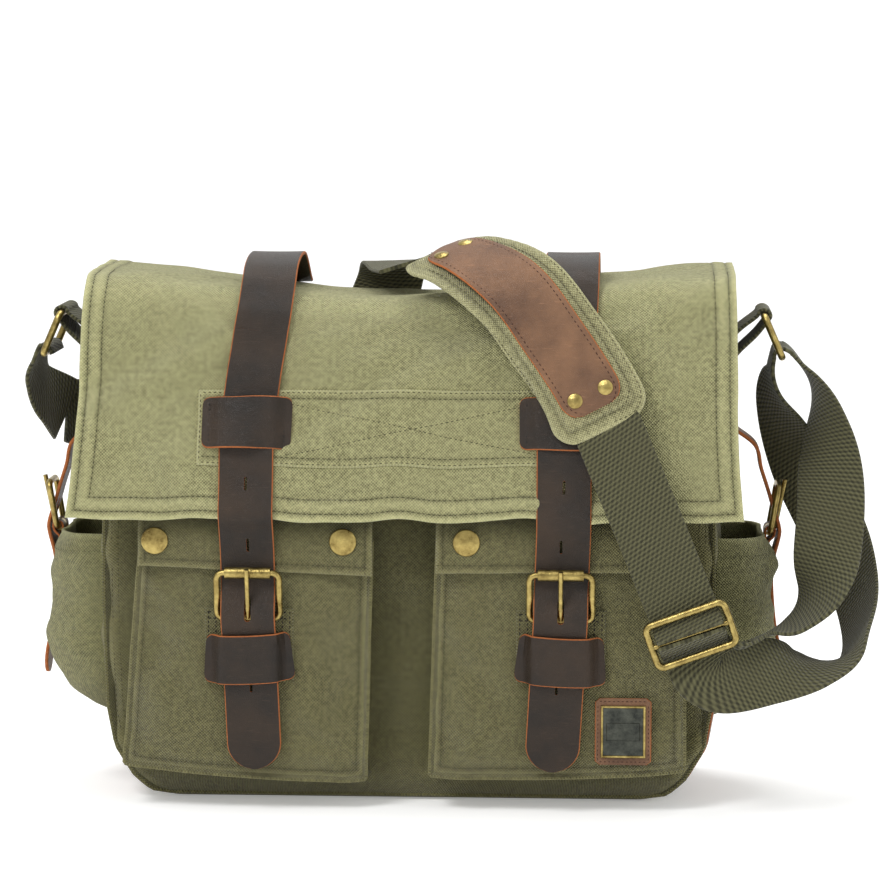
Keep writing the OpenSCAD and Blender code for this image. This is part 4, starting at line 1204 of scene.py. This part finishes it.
# ---- Badge ----
# A plain blackened plate with a rubbed brass border, riveted to a small leather patch on the
# right pocket. It carries no lettering.
plate_dark = brass_finish("plate_dark", tone(86, 88, 80), tone(44, 46, 44))
up = np.linspace(8, 45, 20)
d = np.clip(np.minimum(up - 8, 45 - up), 0, 2.5)
half = 15.5 - (2.5 - np.sqrt(6.25 - (2.5 - d) ** 2))
patch = strip("badge_leather", on_pocket(86 + 34.5, 0.9, up), np.tile([1.0, 0, 0], (20, 1)), half,
              1.3, leather_red, leather_edge, columns=8)
plate = mesh_piece("badge_metal", *(lambda corners: (
    [tuple(on_pocket(86 + 34.5 + x, out, 26.5 + z)) for half_x, half_z, out in corners
     for x, z in ((-half_x, -half_z), (half_x, -half_z), (half_x, half_z), (-half_x, half_z))],
    [(4 * i + k, 4 * i + (k + 1) % 4, 4 * i + 4 + (k + 1) % 4, 4 * i + 4 + k)
     for i in range(len(corners) - 1) for k in range(4)] + [(3, 2, 1, 0)]
    + [tuple(4 * (len(corners) - 1) + k for k in range(4))]))(
    [(12.3, 14.5, 1.5), (12.3, 14.5, 2.3), (12.0, 14.2, 2.7), (11.2, 13.4, 2.7), (10.9, 13.1, 2.2),
     (9.2, 5.0, 2.2), (8.9, 4.7, 2.5)]), [brass, plate_dark], [0] * 16 + [1] * 8 + [0, 1],
    smooth=False)
for piece, slot, node in ((patch, "leather", "badge_patch"), (plate, "brass", "badge_plate")):
    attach(piece, "bag")
    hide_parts(node)
for sign in (-1, 1):
    up = np.linspace(10, 43, 18)
    sew("badge", on_pocket(120.5 + sign * 13.9, 1.6, up), np.tile([0.0, -1, 0], (18, 1)), 2.4, 1.6,
        0.5)
    at = np.linspace(-13.5, 13.5, 16)
    sew("badge", on_pocket(120.5 + at, 1.6, 26.5 + sign * 16.8), np.tile([0.0, -1, 0], (16, 1)),
        2.4, 1.6, 0.5)

# ---- Side pockets and straps ----
# A full, soft pocket on each gusset, sewn on round its edge and gathered at the bottom. A
# narrow strap from the gusset above buckles over its mouth.
side_rows = curve([[-26.2, 218], [-18, 208], [-4, 197], [-0.5, 184], [3.4, 172], [6.4, 162],
                   [9.9, 151], [9.9, 145], [6.8, 132], [6.0, 118], [8, 95], [12, 76], [13, 62]], 7)


def on_side(sign, a, out, z):
    return np.stack(np.broadcast_arrays(sign * (198 + np.asarray(out, float)), sign * a, z), -1)


for sign, side in ((-1, "left"), (1, "right")):
    heights = np.concatenate([np.linspace(45, 60, 9), np.linspace(63, 148, 44)])
    turn = np.linspace(-math.pi / 2, math.pi / 2, 72)
    grid, marks = [], []
    for z in heights:
        deep = np.interp(z, [45, 48, 54, 64, 78, 95, 110, 148], [1.2, 9, 16, 22.5, 27.2, 28.6,
                                                                 28.0, 27.6])
        wide = np.interp(z, [45, 52, 62, 80, 130, 148], [34, 38, 40, 41, 40, 38])
        y = wide * np.sign(np.sin(turn)) * np.abs(np.sin(turn)) ** 0.62
        out = deep * np.abs(np.cos(turn)) ** 0.55
        free = np.clip((np.abs(y) - 11) / 9, 0, 1) * np.clip((z - 45) / 12, 0, 1)
        free *= np.clip((150 - z) / 12, 0.3, 1)
        out = out + free * (8.5 * np.abs(np.cos(turn)) + 2.4 * drape(y, y * 0 + z, 61 + sign, 55)
                            * np.abs(np.cos(turn)) ** 0.5)
        grid.append(np.stack([sign * (170 + out), sign * y, np.full(len(y), z)
                              + 2.5 * (y / 40) ** 2 * np.clip((60 - z) / 15, 0, 1)], 1))
        to_edge = np.minimum(np.full(len(y), 148 - z), out * 1.0)
        # The mouth and the sewn-on edge are worn paler; the groove along the stitch row below the
        # mouth is darkened with painted shade.
        marks.append(0.7 * np.exp(-(to_edge / 2.2) ** 2) - 0.45 * np.exp(-((148 - z - 9) / 1.0) ** 2))
    grid, marks = np.array(grid), np.array(marks)
    low = grid[:1].copy()
    low[..., 0] = sign * 169.5
    grid, marks = np.vstack([low, grid]), np.vstack([marks[:1], marks])
    around = np.concatenate([[0], np.cumsum(np.linalg.norm(np.diff(grid[30], axis=0), axis=1))])
    uv = np.stack(np.meshgrid(around, np.concatenate([[20], heights])), -1) * MM
    pouch = cloth("side_pouch_" + side, grid, uv, marks, canvas_faded, 1.8)
    row = int(np.argmin(np.abs(heights - 139))) + 1
    out_way = np.stack([np.full(72, sign * 1.0), np.zeros(72), np.zeros(72)], 1)
    sew("bag_canvas", grid[row], out_way, 2.9, 2.0, 0.6)
    flat = np.linspace(118, 147, 10)
    side_rows_3d = on_side(sign, 0.0, side_rows[:, 0], side_rows[:, 1])
    run = np.concatenate([[0], np.cumsum(np.linalg.norm(np.diff(side_rows_3d, axis=0), axis=1))])
    pick = np.concatenate([np.linspace(0, run[-1] - 10, 90),
                           run[-1] - 10 + 10 * np.sin(np.linspace(0.15, math.pi / 2 - 0.1, 10))])
    rows = along(side_rows_3d, run, pick)
    to_tip = np.clip(run[-1] - pick, 0.15, 10)
    half = np.sqrt(100 - (10 - to_tip) ** 2)
    strap = strip("side_strap_leather_" + side, rows, np.tile([0.0, 1.0, 0.0], (len(rows), 1)),
                  half, STRAP_T, leather_red, leather_edge, crown=-0.15)
    punch(strap, [(on_side(sign, 0.0, 8.4, 156.0), np.array([0, 0, 1.0]),
                   np.array([sign * 1.0, 0, 0.0]))], leather, 3.8, 15, 10)
    punch(strap, [(on_side(sign, 0.0, out, z), np.array([0, 0, 1.0]),
                   np.array([sign * 1.0, 0, 0.0])) for out, z in ((6.4, 122), (7.4, 101))],
          leather, 1.6, 5.5, 7)
    fold = curve([[1.2, 110], [1.4, 122], [1.8, 138], [2.2, 144], [2.25, 148], [3.0, 150.0],
                  [5, 150.75], [7.0, 150.0], [7.75, 148], [6.8, 145], [4.2, 142], [3.0, 136],
                  [2.6, 124]], 4)
    chape = strip("side_chape_leather_" + side, on_side(sign, 0.0, fold[:, 0], fold[:, 1]),
                  np.tile([0.0, 1.0, 0.0], (len(fold), 1)), 9, 1.3, leather_red, leather_edge)
    punch(chape, [(on_side(sign, 0.0, 5.0, 149.0), np.array([0, 0, 1.0]),
                   np.array([sign * 1.0, 0, 0.0]))], leather, 6.4, 14, 12)
    for piece, slot, node in ((pouch, "canvas", "side_pocket_"), (strap, "leather", "side_strap_"),
                              (chape, "leather", "side_chape_")):
        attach(piece, "bag")
        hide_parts(node + side)

# ---- Stitching ----
# Every seam is lockstitched: dark olive thread in the canvas, heavy black thread in the buckle
# patches and keepers. Each stitch is a short bead that sinks into the cloth.


def thread_finish(name, pale, dark):
    finish = Finish(name)
    fibre = finish.noise(finish.node("TexCoord", out="Object"), 2500.0, 2.0)
    return finish.done(finish.blend(fibre, dark, pale), 0.75, fibre, 0.0001,
                       Specular_IOR_Level=0.3)


thread_olive = thread_finish("thread_olive", tone(96, 92, 62), tone(52, 50, 32))
thread_black = thread_finish("thread_black", tone(52, 46, 42), tone(18, 16, 15))
thread_brown = thread_finish("thread_brown", tone(74, 44, 34), tone(38, 22, 18))


def stitch_tree():
    """A tree that lays one bead at each point, along its own direction."""
    tree = bpy.data.node_groups.new("stitches", "GeometryNodeTree")
    inputs = {}
    for name, kind in (("Geometry", "Geometry"), ("Thread", "Material"), ("Flatness", "Float"),
                       ("Unevenness", "Float"), ("Seed", "Int")):
        inputs[name] = tree.interface.new_socket(name, in_out="INPUT",
                                                 socket_type="NodeSocket" + kind).identifier
    tree.interface.new_socket("Geometry", in_out="OUTPUT", socket_type="NodeSocketGeometry")

    def node(kind, settings=(), values=()):
        made = tree.nodes.new(kind)
        for key, value in dict(settings).items():
            setattr(made, key, value)
        for key, value in dict(values).items():
            if isinstance(value, bpy.types.NodeSocket):
                tree.links.new(value, made.inputs[key])
            else:
                made.inputs[key].default_value = value
        return made

    given = node("NodeGroupInput").outputs
    fields = {}
    for name in ("way", "up", "size"):
        fields[name] = node("GeometryNodeInputNamedAttribute", {"data_type": "FLOAT_VECTOR"},
                            {"Name": name}).outputs[0]
    bead = node("GeometryNodeMeshIcoSphere", {}, {"Radius": 0.5, "Subdivisions": 1}).outputs[0]
    stand = node("FunctionNodeAlignRotationToVector", {"axis": "Z"}, {"Vector": fields["up"]})
    turned = node("FunctionNodeAlignRotationToVector", {"axis": "X", "pivot_axis": "Z"},
                  {"Rotation": stand.outputs[0], "Vector": fields["way"]})
    low = node("ShaderNodeMath", {"operation": "SUBTRACT"}, {0: 1.0, 1: given["Unevenness"]})
    chance = node("FunctionNodeRandomValue", {"data_type": "FLOAT"},
                  {2: low.outputs[0], 3: 1.0, "Seed": given["Seed"]})
    parts = node("ShaderNodeSeparateXYZ", {}, {0: fields["size"]})
    long = node("ShaderNodeMath", {"operation": "MULTIPLY"},
                {0: parts.outputs[0], 1: chance.outputs[1]})
    thin = node("ShaderNodeMath", {"operation": "MULTIPLY"},
                {0: parts.outputs[1], 1: given["Flatness"]})
    size = node("ShaderNodeCombineXYZ", {}, {0: long.outputs[0], 1: parts.outputs[1],
                                             2: thin.outputs[0]})
    laid = node("GeometryNodeInstanceOnPoints", {},
                {"Points": given["Geometry"], "Instance": bead, "Rotation": turned.outputs[0],
                 "Scale": size.outputs[0]})
    real = node("GeometryNodeRealizeInstances", {}, {0: laid.outputs[0]})
    painted = node("GeometryNodeSetMaterial", {}, {"Geometry": real.outputs[0],
                                                   "Material": given["Thread"]})
    node("NodeGroupOutput", {}, {0: painted.outputs[0]})
    return tree, inputs


tree, inputs = stitch_tree()
groups = {"pad_canvas": (thread_olive, "pad"), "pad_leather": (thread_brown, "pad"),
          "bag_canvas": (thread_olive, "bag"), "bag_leather": (thread_black, "bag"),
          "badge": (thread_brown, "bag"), "lid_left": (thread_olive, "pocket_flap_left"),
          "lid_right": (thread_olive, "pocket_flap_right"), "flap": (thread_olive, "flap"),
          "flap_sewn": (thread_olive, "flap_front"), "flap_leather": (thread_black, "flap_front")}
for seed, (group, (thread, place)) in enumerate(groups.items()):
    rows = np.array(seams[group])
    points = bpy.data.meshes.new("stitches_" + group)
    points.from_pydata((rows[:, :3] * MM).tolist(), [], [])
    sizes = np.stack([rows[:, 9], rows[:, 10], rows[:, 10]], 1) * MM
    for name, values in (("way", rows[:, 3:6]), ("up", rows[:, 6:9]), ("size", sizes)):
        field = points.attributes.new(name, "FLOAT_VECTOR", "POINT")
        field.data.foreach_set("vector", values.astype(np.float32).ravel())
    piece = bpy.data.objects.new("stitches_" + group, points)
    scene.collection.objects.link(piece)
    laid = piece.modifiers.new("stitches", "NODES")
    laid.node_group = tree
    for name, value in (("Thread", thread), ("Flatness", 0.6), ("Unevenness", 0.18),
                        ("Seed", seed)):
        laid[inputs[name]] = value
    bpy.context.view_layer.update()
    made = bpy.data.meshes.new_from_object(
        piece.evaluated_get(bpy.context.evaluated_depsgraph_get()))
    piece.modifiers.clear()
    made.polygons.foreach_set("use_smooth", [True] * len(made.polygons))
    piece.data = made
    "leather" if "leather" in group or group == "badge" else "canvas"
    if place == "pad":
        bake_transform(piece)
    elif place == "flap":
        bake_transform(piece)
    else:
        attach(piece, place)
